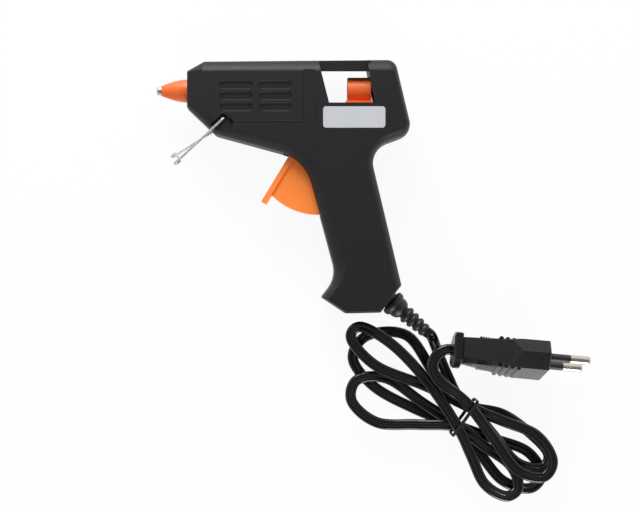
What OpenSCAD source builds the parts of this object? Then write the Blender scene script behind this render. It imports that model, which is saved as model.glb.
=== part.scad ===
// Mini hot glue gun, lying on its right side with its mains lead tied in a hank beside it.
// Each sub-part is drawn in the nose frame: x runs back from the nose face, y is the height
// over the barrel axis, and z is the height over the surface that the gun lies on.

/* [Housing] */
// Nose face to rear edge, along the barrel axis
body_len = 100.6; // [98:0.1:108]
// Thickness of the closed housing
body_thick = 28; // [27:0.5:32]
// Barrel axis to the top edge at the rear
top_h = 13.7; // [13:0.1:16]
// Wall of the two half shells
wall = 2; // [1.6:0.1:2.4]
// Depth of the rounding along the shell's outer edges
edge_depth = 4; // [2.5:0.5:5]
// Lean of the rear edge and of the handle's back
rake = 13.4; // [10:0.1:16]
// Length of the handle's straight back
handle_len = 64.7; // [60:0.1:75]
// Barrel axis down to the chin, where the belly starts
chin_drop = 21.2; // [20:0.1:24]
// Barrel axis down to the trigger arch
belly_drop = 32.4; // [31:0.1:35]
// Depth of the vents pressed into both sides
vent_depth = 0.8; // [0.4:0.1:1.2]

/* [Feed window] */
// Nose face to the window's front corner, at the sill
window_x = 66.6; // [64:0.1:70]
// Length of the window
window_len = 21.3; // [20:0.1:24]
// Sill below the barrel axis
sill_drop = 6.8; // [6.6:0.1:8]
// Thickness of the bridge bar over the window
bar_h = 4.5; // [3:0.1:5]
// Width of the bridge bar
bar_w = 17; // [14:0.5:18]

/* [Glue feed] */
// Diameter of the glue stick that the gun takes
stick_d = 7.2; // [6.8:0.1:7.8]
// Play of the stick in the rear inlet
inlet_play = 1; // [0.6:0.1:1.4]
// Outer diameter of the feeder
feeder_d = 12.5; // [11.8:0.1:13]
// Length of the feeder
feeder_len = 11.1; // [10:0.1:12]
// Outer diameter of the melt chamber
chamber_d = 14; // [13:0.1:15]
// Length of the melt chamber
chamber_len = 35; // [33:0.5:36]
// Diameter of the nozzle sleeve at the nose
sleeve_d = 10.8; // [10:0.1:11.6]
// How far the sleeve stands out of the nose
sleeve_out = 12.3; // [10:0.1:14]
// How far the metal tip stands out of the sleeve
tip_out = 2.3; // [1.5:0.1:4]

/* [Trigger] */
// Angle from rest to the full pull
trigger_turn = 34; // [28:1:36]
// Radius of the trigger's round web
web_r = 30.7; // [28:0.1:32]
// Width of the finger plate
plate_w = 12; // [10:0.1:13]
// Thickness of the finger plate
plate_t = 2.4; // [2:0.1:3]
// Diameter of the pivot pin
pivot_d = 3; // [2.5:0.1:3.5]

/* [Wire stand] */
// Diameter of the wire
wire_d = 1.2; // [1:0.1:1.6]
// Pivot to foot
stand_len = 31; // [28:0.5:33]
// How far the stand folds back
stand_turn = 62; // [40:1:62]

/* [Lead and plug] */
// Width of the flat two-core cord
cord_w = 5.4; // [5:0.1:5.6]
// Thickness of the cord
cord_t = 2.8; // [2.4:0.1:3]
// Length of the strain relief outside the handle
relief_len = 22; // [20:0.5:24]
// Length of the plug's body
plug_len = 43.6; // [40:0.1:50]
// Diameter of the plug's pins
pin_d = 4; // [3.8:0.1:4.2]
// Distance between the plug's pins
pin_gap = 18.6; // [17.5:0.1:19.5]

/* [Hidden] */
$fn = 48;

black_plastic = [0.14, 0.14, 0.15];
orange_plastic = [0.95, 0.42, 0.16];
bright_metal = [0.75, 0.76, 0.78];
soft_black = [0.07, 0.07, 0.08];

// Fits shared by all pieces
slip = 0.05;
run_gap = 0.3;
through = 1;
mid = body_thick / 2;

// Small vector helpers
function unit(v) = v / norm(v);
function right_of(u) = [u.y, -u.x];
function polar(r, a) = r * [cos(a), sin(a)];
function xy(p) = [p[0], p[1]];
function meet(p, u, q, v) = p + u * cross(q - p, v) / cross(u, v);

// Rounded outlines: a corner is [x, y, radius, inset of the edge that follows]
arc_steps = 4;
least_r = 0.3;
function before(c, i) = xy(c[(i + len(c) - 1) % len(c)]);
function after(c, i) = xy(c[(i + 1) % len(c)]);

function corner_arc(c, i) =
    let (p = xy(c[i]), u = unit(p - before(c, i)), v = unit(after(c, i) - p),
         turn = acos(min(1, u * v)), side = (cross(u, v) < 0 ? 1 : -1) * right_of(u),
         centre = p - u * c[i][2] * tan(turn / 2) + side * c[i][2])
    [for (k = [0:arc_steps])
        centre + c[i][2] * (u * sin(turn * k / arc_steps) - side * cos(turn * k / arc_steps))];

function outline(c) = [for (i = [0:len(c) - 1]) each corner_arc(c, i)];

// Each edge of a clockwise outline moved inwards by a share of its own inset, plus an even depth
function moved_in(c, share, even) =
    [for (i = [0:len(c) - 1])
        let (n = len(c), p = xy(c[i]), u = unit(p - before(c, i)), v = unit(after(c, i) - p),
             d_in = share * c[(i + n - 1) % n][3] + even, d_out = share * c[i][3] + even,
             q = meet(p + right_of(u) * d_in, u, p + right_of(v) * d_out, v),
             change = (d_in + d_out) / 2)
        [q.x, q.y, cross(u, v) < 0 ? max(c[i][2] - change, least_r) : c[i][2] + change]];

// Ear clipping, which cuts a flat clockwise outline into triangles
function clear_of(p, a, b, c) = cross(b - a, p - a) > 0 || cross(c - b, p - b) > 0 || cross(a - c, p - c) > 0;
function is_ear(p, left, k) =
    let (n = len(left), a = left[(k + n - 1) % n], b = left[k], c = left[(k + 1) % n])
    cross(p[b] - p[a], p[c] - p[a]) < 0
    && len([for (j = left) if (j != a && j != b && j != c && !clear_of(p[j], p[a], p[b], p[c])) j]) == 0;
function first_ear(p, left, k = 0) = k >= len(left) ? 0 : is_ear(p, left, k) ? k : first_ear(p, left, k + 1);
function triangles(p, left, done = []) =
    len(left) == 3 ? concat(done, [left]) :
    let (n = len(left), k = first_ear(p, left))
    triangles(p, [for (i = [0:n - 1]) if (i != k) left[i]],
              concat(done, [[left[(k + n - 1) % n], left[k], left[(k + 1) % n]]]));
function flipped(faces, step) = [for (f = faces) [f[2] + step, f[1] + step, f[0] + step]];
function shifted(faces, step) = [for (f = faces) f + [step, step, step]];

// Triangles between two rings of n points, the first ring starting at a and the second at b
function band(n, a, b) =
    [for (i = [0:n - 1]) let (j = (i + 1) % n) each [[a + i, a + j, b + j], [a + i, b + j, b + i]]];

// Tubes swept along a path: a shape is a list of [along the normal, along the side]
function tangent(p, i) = unit(p[min(i + 1, len(p) - 1)] - p[max(i - 1, 0)]);
function level_normal(p, i) = let (t = tangent(p, i), up = [0, 0, 1]) unit(up - t * (up * t));
function carried_normals(p, first, i = 0, done = []) =
    i == len(p) ? done :
    let (t = tangent(p, i), last = i == 0 ? first : done[i - 1])
    carried_normals(p, first, i + 1, concat(done, [unit(last - t * (last * t))]));

function sides_of(p, normals) = [for (i = [0:len(p) - 1]) cross(tangent(p, i), normals[i])];

module swept(p, normals, sides, shape) {
    n = len(shape);
    points = [for (i = [0:len(p) - 1]) each [for (s = shape) p[i] + normals[i] * s.x + sides[i] * s.y]];
    sides = [for (i = [0:len(p) - 2]) each band(n, i * n, (i + 1) * n)];
    start = [for (k = [1:n - 2]) [0, k + 1, k]];
    end = [for (k = [1:n - 2]) [0, k, k + 1] + (len(p) - 1) * n * [1, 1, 1]];
    polyhedron(points, concat(sides, start, end));
}

function ring_shape(r, n) = [for (k = [0:n - 1]) polar(r, -360 * k / n)];

// Corners of a path rounded off by short curves, for bent wire
bend_steps = 4;
function bent(p, r) =
    [for (i = [0:len(p) - 1])
        each i == 0 || i == len(p) - 1 ? [p[i]] :
        let (a = p[i] + r * unit(p[i - 1] - p[i]), b = p[i] + r * unit(p[i + 1] - p[i]))
        [for (k = [0:bend_steps]) let (t = k / bend_steps) (1 - t) * (1 - t) * a + 2 * t * (1 - t) * p[i]
            + t * t * b]];

// A smooth curve through every point of a path
curve_steps = 4;
function through_points(p) =
    [for (i = [0:len(p) - 2])
        let (a = p[max(i - 1, 0)], b = p[i], c = p[i + 1], d = p[min(i + 2, len(p) - 1)])
        each [for (k = [0:curve_steps - (i == len(p) - 2 ? 0 : 1)])
            let (t = k / curve_steps)
            b + 0.5 * t * (c - a + t * (2 * a - 5 * b + 4 * c - d + t * (3 * (b - c) + d - a)))]];
function length_of(p) = len(p) < 2 ? 0 : [for (i = [0:len(p) - 2])
    norm(p[i + 1] - p[i])] * [for (i = [0:len(p) - 2]) 1];

// The housing's outline, clockwise from the top of the nose
nose_top = 8.3;
nose_low = 8.7;
nose_face = 0.7;
brow_x = 8.9;
brow_drop = 0.8;
chin_x = 13.9;
rear_drop = 20.2;
back_x = 85.4;
back_drop = 27.7;
arch_x = 55.1;
arch_r = 20;
facet_len = 16.3;
facet_angle = 232.7;
base_len = 16.4;
toe_len = 13.8;
toe_angle = 146.2;
web_of_toe = [7.2, 9.3];

rear_low = [body_len + rear_drop * tan(rake), -rear_drop];
rear_top = [body_len - top_h * tan(rake), top_h];
handle_top = [back_x, -back_drop];
heel = handle_top + handle_len * [sin(rake), -cos(rake)];
heel_low = heel + polar(facet_len, facet_angle);
base_front = heel_low - [base_len, 0.4];
toe = base_front + polar(toe_len, toe_angle);
palm_low = toe + web_of_toe;
arch = [arch_x, -belly_drop];
chin = [chin_x, -chin_drop];

body = [
    [nose_face, nose_top, 1.2, 3.5], [brow_x, top_h - brow_drop, 1.5, 3.7],
    [rear_top.x, rear_top.y, 5.2, 1.3], [rear_low.x, rear_low.y, 6.5, 2],
    [handle_top.x, handle_top.y, 10, 2], [heel.x, heel.y, 1.5, 1], [heel_low.x, heel_low.y, 1, 1],
    [base_front.x, base_front.y, 1.5, 1], [toe.x, toe.y, 0.8, 2], [palm_low.x, palm_low.y, 13, 4.4],
    [arch.x, arch.y, arch_r, 3.7], [chin.x, chin.y, 1.5, 3.5], [nose_face, -nose_low, 1.5, 2]
];
body_line = outline(body);

// The gun's box without the cord is centred on the origin
tip_x = nose_face - sleeve_out - tip_out;
centre = [(max([for (p = body_line) p.x]) + tip_x) / 2,
          (max([for (p = body_line) p.y]) + min([for (p = body_line) p.y])) / 2];
module from_nose() translate([-centre.x, -centre.y, 0]) children();
module along_x(x, y = 0, z = mid) translate([x, y, z]) rotate([0, 90, 0]) children();

// Half shell: an open tray with rounded outer edges, its rim on the parting plane
edge_turns = [0, 30, 60, 90];
inner_rise = 6;
outer_rings = concat(
    [[outline(body), mid]],
    [for (a = edge_turns) [outline(moved_in(body, 1 - cos(a), 0)), body_thick - edge_depth * (1 - sin(a))]]);
inner_rings = [
    [outline(moved_in(body, 0, wall)), mid],
    [outline(moved_in(body, 0, wall)), body_thick - inner_rise],
    [outline(moved_in(body, 1, wall)), body_thick - wall]
];

module tray() {
    n = len(body_line);
    rings = concat(outer_rings, inner_rings);
    points = [for (r = rings) each [for (p = r[0]) [p.x, p.y, r[1]]]];
    outer = len(outer_rings);
    last = len(rings) - 1;
    all = [for (i = [0:n - 1]) i];
    outside = [for (k = [0:outer - 2]) each band(n, k * n, (k + 1) * n)];
    inside = [for (k = [outer:last - 1]) each band(n, (k + 1) * n, k * n)];
    face = shifted(triangles(outer_rings[outer - 1][0], all), (outer - 1) * n);
    ceiling = flipped(triangles(inner_rings[last - outer][0], all), last * n);
    rim = band(n, outer * n, 0);
    polyhedron(points, concat(outside, inside, face, ceiling, rim));
}

module block(x0, x1, y0, y1, z0, z1) translate([x0, y0, z0]) cube([x1 - x0, y1 - y0, z1 - z0]);
module plate(points, z0, z1) translate([0, 0, z0]) linear_extrude(z1 - z0) polygon(points);

// Feed window and what runs in it
front_rake = 14.2;
rear_rake = 11.2;
window_top = top_h - bar_h;
deck_t = 2;
deck_low = -sill_drop - deck_t;
inside_face = body_thick - wall + 0.3;
window_end = window_x + window_len;
function front_at(y) = [window_x - (y + sill_drop) * tan(front_rake), y];
function rear_at(y) = [window_end - (y + sill_drop) * tan(rear_rake), y];
module window_cut(high, z0, z1)
    plate([front_at(-sill_drop), front_at(high), rear_at(high), rear_at(-sill_drop)], z0, z1);

// The bar's underside leans, so its height over the window changes by this from the parting plane to its face
bar_lean = 1.1;
thin = 0.01;
module under_bar(lean) hull() {
    window_cut(window_top - lean * through / (bar_w / 2), mid - through, mid - through + thin);
    window_cut(window_top + lean, mid + bar_w / 2 - thin, mid + bar_w / 2 + thin);
}

// Wall along the window's rear edge, open where the feeder stands back into it
rear_wall_t = 1.5;
rear_wall_play = 0.45;
module rear_wall() difference() {
    plate([rear_at(-sill_drop - deck_t), rear_at(top_h - 0.9), rear_at(top_h - 0.9) + [rear_wall_t, 0],
           rear_at(-sill_drop - deck_t) + [rear_wall_t, 0]], mid, inside_face);
    along_x(window_end - 12) cylinder(d = feeder_d + 2 * rear_wall_play, h = 12 + rear_wall_t);
}

// Trigger, its pivot and its link to the feeder
pivot_x = 61.6;
pivot_drop = 27.1;
pivot = [pivot_x, -pivot_drop];
link_h = 14.5;
link_pin_d = 2.4;
half_turn = trigger_turn / 2;
link_x = pivot.x + link_h * tan(half_turn);
link_y = pivot.y + link_h;
travel = 2 * link_h * tan(half_turn);
hub_r = 4.2;
hub_side = 0.2;
web_t = plate_w - 2;
slot_w = plate_w + 0.8;
slot_front = pivot_x - 16.3;
slot_low = pivot.y - web_r - 0.8;
tongue_t = 4;

// Feeder at rest, at the rear of the window
feeder_x = window_x + window_len - feeder_len - 1.7;
flange_lip = 0.9;
flange_t = 1.4;
flange_w = 16;
deck_play = 0.1;
feeder_rear = feeder_x + feeder_len;
gripper_t = 0.5;
gripper_r = stick_d / 2 + 1.3;
feeder_bore = stick_d / 2 + 0.3;

// Stick inlet at the rear
inlet_r = (stick_d + inlet_play) / 2;
inlet_boss_r = 6;
inlet_x = window_x + window_len + 0.9;
inlet_depth = body_len - wall + 0.4;

// Melt chamber, its nozzle and its heater
chamber_x = 5.2;
chamber_end = chamber_x + chamber_len;
spigot_r = 5;
spigot_len = 6;
nozzle_r = 3;
thread_r = 2.45;
thread_len = 4;
orifice_r = 0.8;
cradle_t = 2;
cradle_xs = [12, 38];
cradle_low = -9;
cradle_high = 10.4;
pad_x = 17;
pad_len = 18;
pad_w = 13;
pad_low = -chamber_d / 2 - 2.5;
electrode_t = 0.5;
ptc_t = 2.4;
film_t = 0.2;
clip_t = 0.8;

// Screws, driven in from the right side
screw_at = [[94.5, -18.8], [79, -38], [77.5, -96], [33, -19]];
boss_r = 3;
screw_r = 1.4;
head_r = 2.6;
head_t = 1.8;
seat_z = 6;
screw_reach = 8;

// Wire stand
stand_at = [18.4, -13.6];
near_angle = 223;
far_angle = 212;
wire_z = body_thick - 1.1;
recess_floor = body_thick - 2;
recess_top = 2.2;
recess_corner = [4.3, -1.4];
pivot_depth = 4.4;

// Label on the left side
label = [63.8, -18.4, 28.6, 9.9];
label_r = 1.4;
label_t = 0.2;

// Return spring behind the feeder
spring_r = 1.9;
spring_wire = 0.6;
spring_turns = 6;
post_x = body_len - 2;
post_r = 1.3;

// Strain relief in the heel's facet
relief_at = heel + 0.55 * (heel_low - heel);
relief_angle = -40.7;
relief_r = 6;
neck_r = 4.2;
module along_relief() translate([relief_at.x, relief_at.y, mid]) rotate([0, 90, relief_angle]) children();

module obround(x0, x1, y, w, z0, z1) {
    r = w / 2;
    translate([0, 0, z0]) linear_extrude(z1 - z0) {
        translate([x0 + r, y - r]) square([x1 - x0 - w, w]);
        for (x = [x0 + r, x1 - r]) translate([x, y]) circle(r);
    }
}

vent_rows = [1.25, -3.7, -8.8];
vent_cols = [[16.7, 31.2], [34.7, 49.4]];
vent_w = 3.4;
band_x = [54.7, 60.2];
band_y = [-15.6, 8.5];
panel_depth = 0.4;
panel_x = 21.5;
panel_top = -15;
panel_far = 60;

// Sunk sector in which a leg of the stand swings
module stand_recess(leg_angle) {
    apex = stand_at + [-0.5, recess_top];
    end_angle = near_angle + stand_turn;
    edge = stand_at + polar(wire_d / 2 + run_gap, end_angle + 90);
    plate([apex, stand_at + recess_corner, edge + polar(9, end_angle), edge + polar(panel_far, end_angle),
           apex + polar(panel_far, 250), apex + polar(panel_far, leg_angle - 1)], recess_floor,
               body_thick + through);
}

module pressed_details(leg_angle) {
    for (col = vent_cols, row = vent_rows)
        obround(col[0], col[1], row, vent_w, body_thick - vent_depth, body_thick + through);
    block(band_x[0], band_x[1], band_y[0], band_y[1], body_thick - panel_depth, body_thick + through);
    block(panel_x, band_x[1], -panel_far, panel_top, body_thick - panel_depth, body_thick + through);
    stand_recess(leg_angle);
}

nose_slope = 3;
module nose_taper()
    rotate([90, 0, 0])
        translate([0, 0, -panel_far])
            linear_extrude(2 * panel_far)
                polygon([[brow_x, body_thick],
                    [nose_face - 4, body_thick - nose_slope * (brow_x - nose_face + 4) / (brow_x
                    - nose_face)],
                         [nose_face - 4, body_thick + 4], [brow_x, body_thick + 4]]);

module shell_inside() {
    deck_ends = [window_x - 8.6, window_x + window_len + 4.1];
    block(deck_ends[0], deck_ends[1], deck_low, -sill_drop, mid, inside_face);
    block(deck_ends[0], deck_ends[1], window_top - bar_lean, top_h - 0.9, mid, mid + bar_w / 2);
    rear_wall();
    intersection() {
        along_x(inlet_x) cylinder(r = inlet_boss_r, h = inlet_depth - inlet_x);
        block(inlet_x, inlet_depth, -inlet_boss_r, inlet_boss_r, mid, inside_face);
    }
    for (x = cradle_xs) block(x, x + cradle_t, cradle_low, cradle_high, mid, inside_face);
    for (p = screw_at) translate([p.x, p.y, mid]) cylinder(r = boss_r, h = inside_face - mid);
    translate([pivot.x, pivot.y, mid + plate_w / 2 + hub_side])
        cylinder(r = pivot_d / 2 + 1.7, h = inside_face - mid - plate_w / 2 - hub_side);
    plate([[9, -9.5], [24, -9.5], [31, -15.5], [31, -23.4], [14.4, -19.4], [7.9, -13.4]],
          recess_floor - 3, inside_face);
}

module half_shell(leg_angle, lean) {
    difference() {
        union() {
            tray();
            shell_inside();
        }
        under_bar(lean);
        window_cut(top_h + through, mid + bar_w / 2, body_thick + through);
        block(feeder_x - travel - 0.5, feeder_rear + 0.5, deck_low - through, -sill_drop + through,
              mid - through, mid + tongue_t / 2 + run_gap);
        along_x(inlet_x - through) cylinder(r = inlet_r, h = body_len);
        along_x(nose_face - 4) cylinder(r = sleeve_d / 2 + slip, h = chamber_x - nose_face + 4);
        along_x(chamber_x - through) cylinder(r = chamber_d / 2 + slip, h = chamber_len + 2 * through);
        plate([[slot_front, pivot.y + 5.1], [slot_front, pivot.y - 12.9], [pivot.x - 3.6, slot_low],
               [pivot.x + 10.4, slot_low], pivot + [0.4, -16.9], pivot + [-4.6, -5.9], pivot + [-9.6, -0.4]],
              mid - through, mid + slot_w / 2);
        translate([pivot.x, pivot.y, mid]) cylinder(r = pivot_d / 2 + slip, h = mid - wall);
        translate([stand_at.x, stand_at.y, wire_z - pivot_depth - slip])
            cylinder(r = wire_d / 2 + slip, h = mid);
        translate([stand_at.x, stand_at.y, recess_floor - 1]) cylinder(r = wire_d / 2 + 0.6, h = mid);
        along_relief() translate([0, 0, -10]) cylinder(r = neck_r + slip, h = 20);
        pressed_details(leg_angle);
        nose_taper();
    }
}

module left_shell() color(black_plastic) from_nose() {
    difference() {
        half_shell(near_angle, -bar_lean);
        for (p = screw_at) translate([p.x, p.y, mid - through])
            cylinder(r = screw_r + slip, h = screw_reach + 2 * through);
        translate([0, 0, body_thick - label_t - slip]) label_outline(slip, label_t + through);
    }
    translate([post_x, link_y, mid - 3]) cylinder(r = post_r, h = inside_face - mid + 3);
}

module right_shell() color(black_plastic) from_nose() {
    translate([0, 0, body_thick]) mirror([0, 0, 1]) difference() {
        half_shell(far_angle, bar_lean);
        for (p = screw_at) {
            translate([p.x, p.y, mid - through]) cylinder(r = screw_r + slip, h = body_thick);
            translate([p.x, p.y, body_thick - seat_z]) cylinder(r = head_r + slip, h = body_thick);
        }
    }
}

// One self-tapping screw: head, shank and a cone point
module screw() rotate_extrude()
    polygon([[0, seat_z - head_t], [head_r, seat_z - head_t], [head_r, seat_z], [screw_r, seat_z],
             [screw_r, mid + screw_reach - 1], [0, mid + screw_reach]]);
module housing_screws() color(bright_metal) from_nose() for (p = screw_at) translate([p.x, p.y, 0]) screw();

module label_outline(grow, t) {
    corners = [[label[0] - grow, label[1] - grow, label_r],
        [label[0] - grow, label[1] + label[3] + grow, label_r],
               [label[0] + label[2] + grow, label[1] + label[3] + grow, label_r],
               [label[0] + label[2] + grow, label[1] - grow, label_r]];
    linear_extrude(t) polygon(outline(corners));
}
module label_plate() color("lightgray") from_nose() translate([0, 0, body_thick - label_t - slip])
    label_outline(0, label_t);

// Nozzle and its insulating sleeve
sleeve_tip_r = 2.4;
tip_r = 2.2;
tip_round = 0.7;
shank_r = 1.8;
step_x = -4;
sleeve_seat = chamber_x - 0.2;
flange_x = nose_face + wall + 0.2;
flange_r = 6.5;
ogive_steps = 10;
function ogive(t) = sleeve_tip_r + (sleeve_d / 2 - sleeve_tip_r) * sin(90 * t);

module nozzle_tip() color(bright_metal) from_nose() along_x(0) rotate_extrude()
    polygon([[orifice_r, tip_x], [tip_r - tip_round, tip_x], [tip_r, tip_x + tip_round],
             [tip_r, tip_x + tip_out - slip], [shank_r, tip_x + tip_out - slip], [shank_r, step_x],
             [nozzle_r, step_x], [nozzle_r, chamber_x], [thread_r, chamber_x],
             [thread_r, chamber_x + thread_len], [orifice_r, chamber_x + thread_len]]);

module nozzle_sleeve() color(orange_plastic) from_nose() along_x(0) rotate_extrude()
    polygon(concat(
        [for (k = [0:ogive_steps]) [ogive(k / ogive_steps), nose_face - sleeve_out * (1 - k / ogive_steps)]],
        [[sleeve_d / 2, flange_x], [flange_r, flange_x], [flange_r, sleeve_seat],
            [nozzle_r + slip, sleeve_seat],
         [nozzle_r + slip, step_x - slip], [shank_r + slip, step_x - slip],
             [shank_r + slip, nose_face - sleeve_out]]));

module melt_chamber() color(bright_metal) from_nose() difference() {
    union() {
        along_x(chamber_x) cylinder(d = chamber_d, h = chamber_len);
        along_x(chamber_end) cylinder(r = spigot_r, h = spigot_len);
        block(pad_x, pad_x + pad_len, pad_low, -chamber_d / 2 + 2, mid - pad_w / 2, mid + pad_w / 2);
    }
    along_x(0) rotate_extrude()
        polygon([[0, chamber_x - through], [thread_r + slip, chamber_x - through],
            [thread_r + slip, chamber_x + thread_len + slip],
                 [stick_d / 2 + 0.2, chamber_x + thread_len + 4],
                     [stick_d / 2 + 0.2, chamber_end + spigot_len + through],
                 [0, chamber_end + spigot_len + through]]);
}

// Heater stack under the chamber: electrode, element, electrode, film and spring clip
stack_z = 5.5;
first_electrode = pad_low - electrode_t;
element_low = first_electrode - ptc_t;
second_electrode = element_low - electrode_t;
film_low = second_electrode - film_t;
tab_len = 4;
tab_w = 3;
tab_x = pad_x + pad_len + 1.5;
tab_side = 3;
module ptc_heater() color("dimgray") from_nose()
    block(pad_x + 1, pad_x + pad_len - 1, element_low, first_electrode, mid - stack_z, mid + stack_z);
module electrode(low, side) {
    block(pad_x + 0.5, tab_x, low, low + electrode_t, mid - stack_z, mid + stack_z);
    block(tab_x - 0.5, tab_x + tab_len, low, low + electrode_t, mid + side * tab_side - tab_w / 2,
        mid + side * tab_side + tab_w / 2);
}
module heater_electrodes() color(bright_metal) from_nose() {
    electrode(first_electrode, 1);
    electrode(second_electrode, -1);
}
module insulating_film() color("peru") from_nose()
    block(pad_x, pad_x + pad_len, film_low, second_electrode, mid - pad_w / 2, mid + pad_w / 2);
module heater_clip() color(bright_metal) from_nose() {
    x = [pad_x + 3, pad_x + pad_len - 3];
    side = mid - pad_w / 2;
    block(x[0], x[1], film_low - clip_t, film_low, side - clip_t - slip, body_thick - side + clip_t + slip);
    for (z = [side - clip_t - slip, body_thick - side + slip])
        block(x[0], x[1], film_low - clip_t, pad_low + 1.5, z, z + clip_t);
}

// Silicone inlet sleeve on the chamber's spigot, held by a wire ring
inlet_sleeve_len = 17;
inlet_sleeve_r = 6;
ring_wire = 1;
module inlet_sleeve() color("ivory") from_nose() along_x(chamber_end + slip) rotate_extrude()
    polygon([[spigot_r + slip, 0], [inlet_sleeve_r, 0], [inlet_sleeve_r, inlet_sleeve_len],
             [stick_d / 2 + 0.4, inlet_sleeve_len], [stick_d / 2 + 0.4, spigot_len],
                 [spigot_r + slip, spigot_len]]);
module sleeve_clamp() color(bright_metal) from_nose() along_x(chamber_end + spigot_len / 2) rotate_extrude()
    translate([inlet_sleeve_r + ring_wire / 2 + slip, 0]) circle(d = ring_wire);

// Inner end of the cord, its two splices and the wires to the heater
stub_len = 9;
splice_len = 6;
splice_r = 1.4;
splice_side = 1.6;
neck_in = wall + 0.5;
flange_in = 2;
module cord_stub() color(soft_black) from_nose() along_relief()
    translate([-cord_t / 2, -cord_w / 2, -neck_in - flange_in - stub_len]) cube([cord_t, cord_w, stub_len]);
module crimp_splices() color("white") from_nose() along_relief()
    for (s = [-1, 1]) translate([0, s * splice_side, -neck_in - flange_in - stub_len - splice_len])
        cylinder(r = splice_r, h = splice_len);

wire_r = 0.8;
back = neck_in + flange_in + stub_len + splice_len;
function splice_end(s) = concat(relief_at - polar(back, relief_angle)
    + polar(s * splice_side, relief_angle + 90), mid);
function wire_route(s, tab_y) = [
    splice_end(s) - concat(polar(0.6, relief_angle), 0), splice_end(s) - concat(polar(3, relief_angle), 0),
        [79.5, -76, mid + s * 4], [77.5, -64, mid + s * 8.5],
    [75, -50, mid + s * 9], [72, -38, mid + s * 9], [71, -28, mid + s * 9], [62, -18.5, mid + s * 9],
    [50, -17, mid + s * 8], [tab_x + tab_len + 5, tab_y - 1, mid + s * 4],
        [tab_x + tab_len + slip, tab_y, mid + s * tab_side]];
module lead_wires() color("firebrick") from_nose()
    for (s = [1, -1]) {
        run = through_points(wire_route(s, (s > 0 ? first_electrode : second_electrode) + electrode_t / 2));
        route = concat([splice_end(s)], run);
        normals = [for (i = [0:len(route) - 1]) level_normal(route, i)];
        swept(route, normals, sides_of(route, normals), ring_shape(wire_r, 6));
    }

// Bend relief: inner flange, neck in the wall, outer flange, cone and ribs
collar_gap = 0.8;
collar_end = 4.3;
cone_end = 8.4;
cone_r = 4.2;
rib_count = 4;
rib_end_r = 3.1;
core_drop = 1.1;
rib_pitch = (relief_len - cone_end) / rib_count;
module strain_relief() color(soft_black) from_nose() along_relief() rotate_extrude()
    polygon(concat(
        [[0, -neck_in - flange_in], [neck_r + 1.3, -neck_in - flange_in], [neck_r + 1.3, -neck_in],
            [neck_r, -neck_in],
         [neck_r, collar_gap], [relief_r, collar_gap], [relief_r, collar_end], [relief_r - 0.7, collar_end],
         [cone_r, cone_end]],
        [for (k = [0:rib_count - 1])
            let (x = cone_end + k * rib_pitch, r = cone_r + (rib_end_r - cone_r) * k / (rib_count - 1))
            each [[r - core_drop, x], [r - core_drop, x + rib_pitch * 0.4], [r, x + rib_pitch * 0.55],
                [r, x + rib_pitch * 0.85],
                  [r - core_drop, x + rib_pitch]]],
        [[0, relief_len]]));

// Trigger: finger plate, round web, hub, and a fork that straddles the feeder's tongue
plate_angle = 238.7;
plate_off = 9.8;
plate_from = 3;
plate_to = 34.9;
web_end = 280;
fork_w = 7;
fork_t = 2.7;
arm_angle = 90 - half_turn;
arm_len = link_h / cos(half_turn);
fork_over = 1.9;
function on_plate(s, off) = polar(off, plate_angle - 90) + polar(s, plate_angle);
web_start = plate_angle - 90 + acos((plate_off - plate_t) / web_r);

module trigger() color(orange_plastic) from_nose() translate([pivot.x, pivot.y, 0]) difference() {
    union() {
        plate([on_plate(plate_from, plate_off), on_plate(plate_to, plate_off),
            on_plate(plate_to, plate_off - plate_t),
               on_plate(plate_from, plate_off - plate_t)], mid - plate_w / 2, mid + plate_w / 2);
        plate(concat([[0, 0], on_plate(plate_from, plate_off - plate_t)],
                     [for (k = [0:8]) polar(web_r, web_start + (web_end - web_start) * k / 8)]),
              mid - web_t / 2, mid + web_t / 2);
        translate([0, 0, mid - plate_w / 2]) cylinder(r = hub_r, h = plate_w);
        for (s = [-1, 1]) translate([0, 0, mid + s * (web_t - fork_t) / 2]) rotate(arm_angle) fork_side();
    }
    translate([0, 0, mid - plate_w]) cylinder(r = pivot_d / 2 + slip, h = 2 * plate_w);
}
module fork_side() translate([0, 0, -fork_t / 2]) difference() {
    translate([0, -fork_w / 2, 0]) cube([arm_len + fork_over, fork_w, fork_t]);
    translate([link_h - link_pin_d / 2 - run_gap, -link_pin_d / 2 - slip, -through])
        cube([arm_len, link_pin_d + 2 * slip, fork_t + 2 * through]);
}
module trigger_pin() color(bright_metal) from_nose()
    translate([pivot.x, pivot.y, wall + slip]) cylinder(d = pivot_d, h = body_thick - 2 * wall - 2 * slip);

// Feeder: tube round the stick, flange on the deck, web through the slot, and a tongue to the trigger
tongue_h = 4;
tongue_nose = 2;
deck_under = deck_low - 0.2;
module feeder() color(orange_plastic) from_nose() difference() {
    union() {
        along_x(feeder_x) cylinder(d = feeder_d, h = feeder_len);
        block(feeder_x - flange_lip, feeder_rear + flange_lip, -sill_drop + deck_play,
            -sill_drop + deck_play + flange_t,
              mid - flange_w / 2, mid + flange_w / 2);
        block(feeder_x, feeder_rear, link_y, -stick_d / 2 - 1, mid - tongue_t / 2, mid + tongue_t / 2);
        block(feeder_x, feeder_rear, deck_under - 1.6, deck_under, mid - web_t / 2, mid + web_t / 2);
        block(link_x - tongue_nose, feeder_rear, link_y - tongue_h / 2, link_y + tongue_h / 2,
            mid - tongue_t / 2, mid + tongue_t / 2);
    }
    along_x(feeder_x - through) cylinder(r = feeder_bore, h = feeder_len + 2 * through);
    along_x(feeder_rear - gripper_t - slip) cylinder(r = gripper_r + slip, h = gripper_t + through);
    translate([link_x, link_y, 0]) cylinder(d = link_pin_d + 2 * slip, h = body_thick);
}
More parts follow.
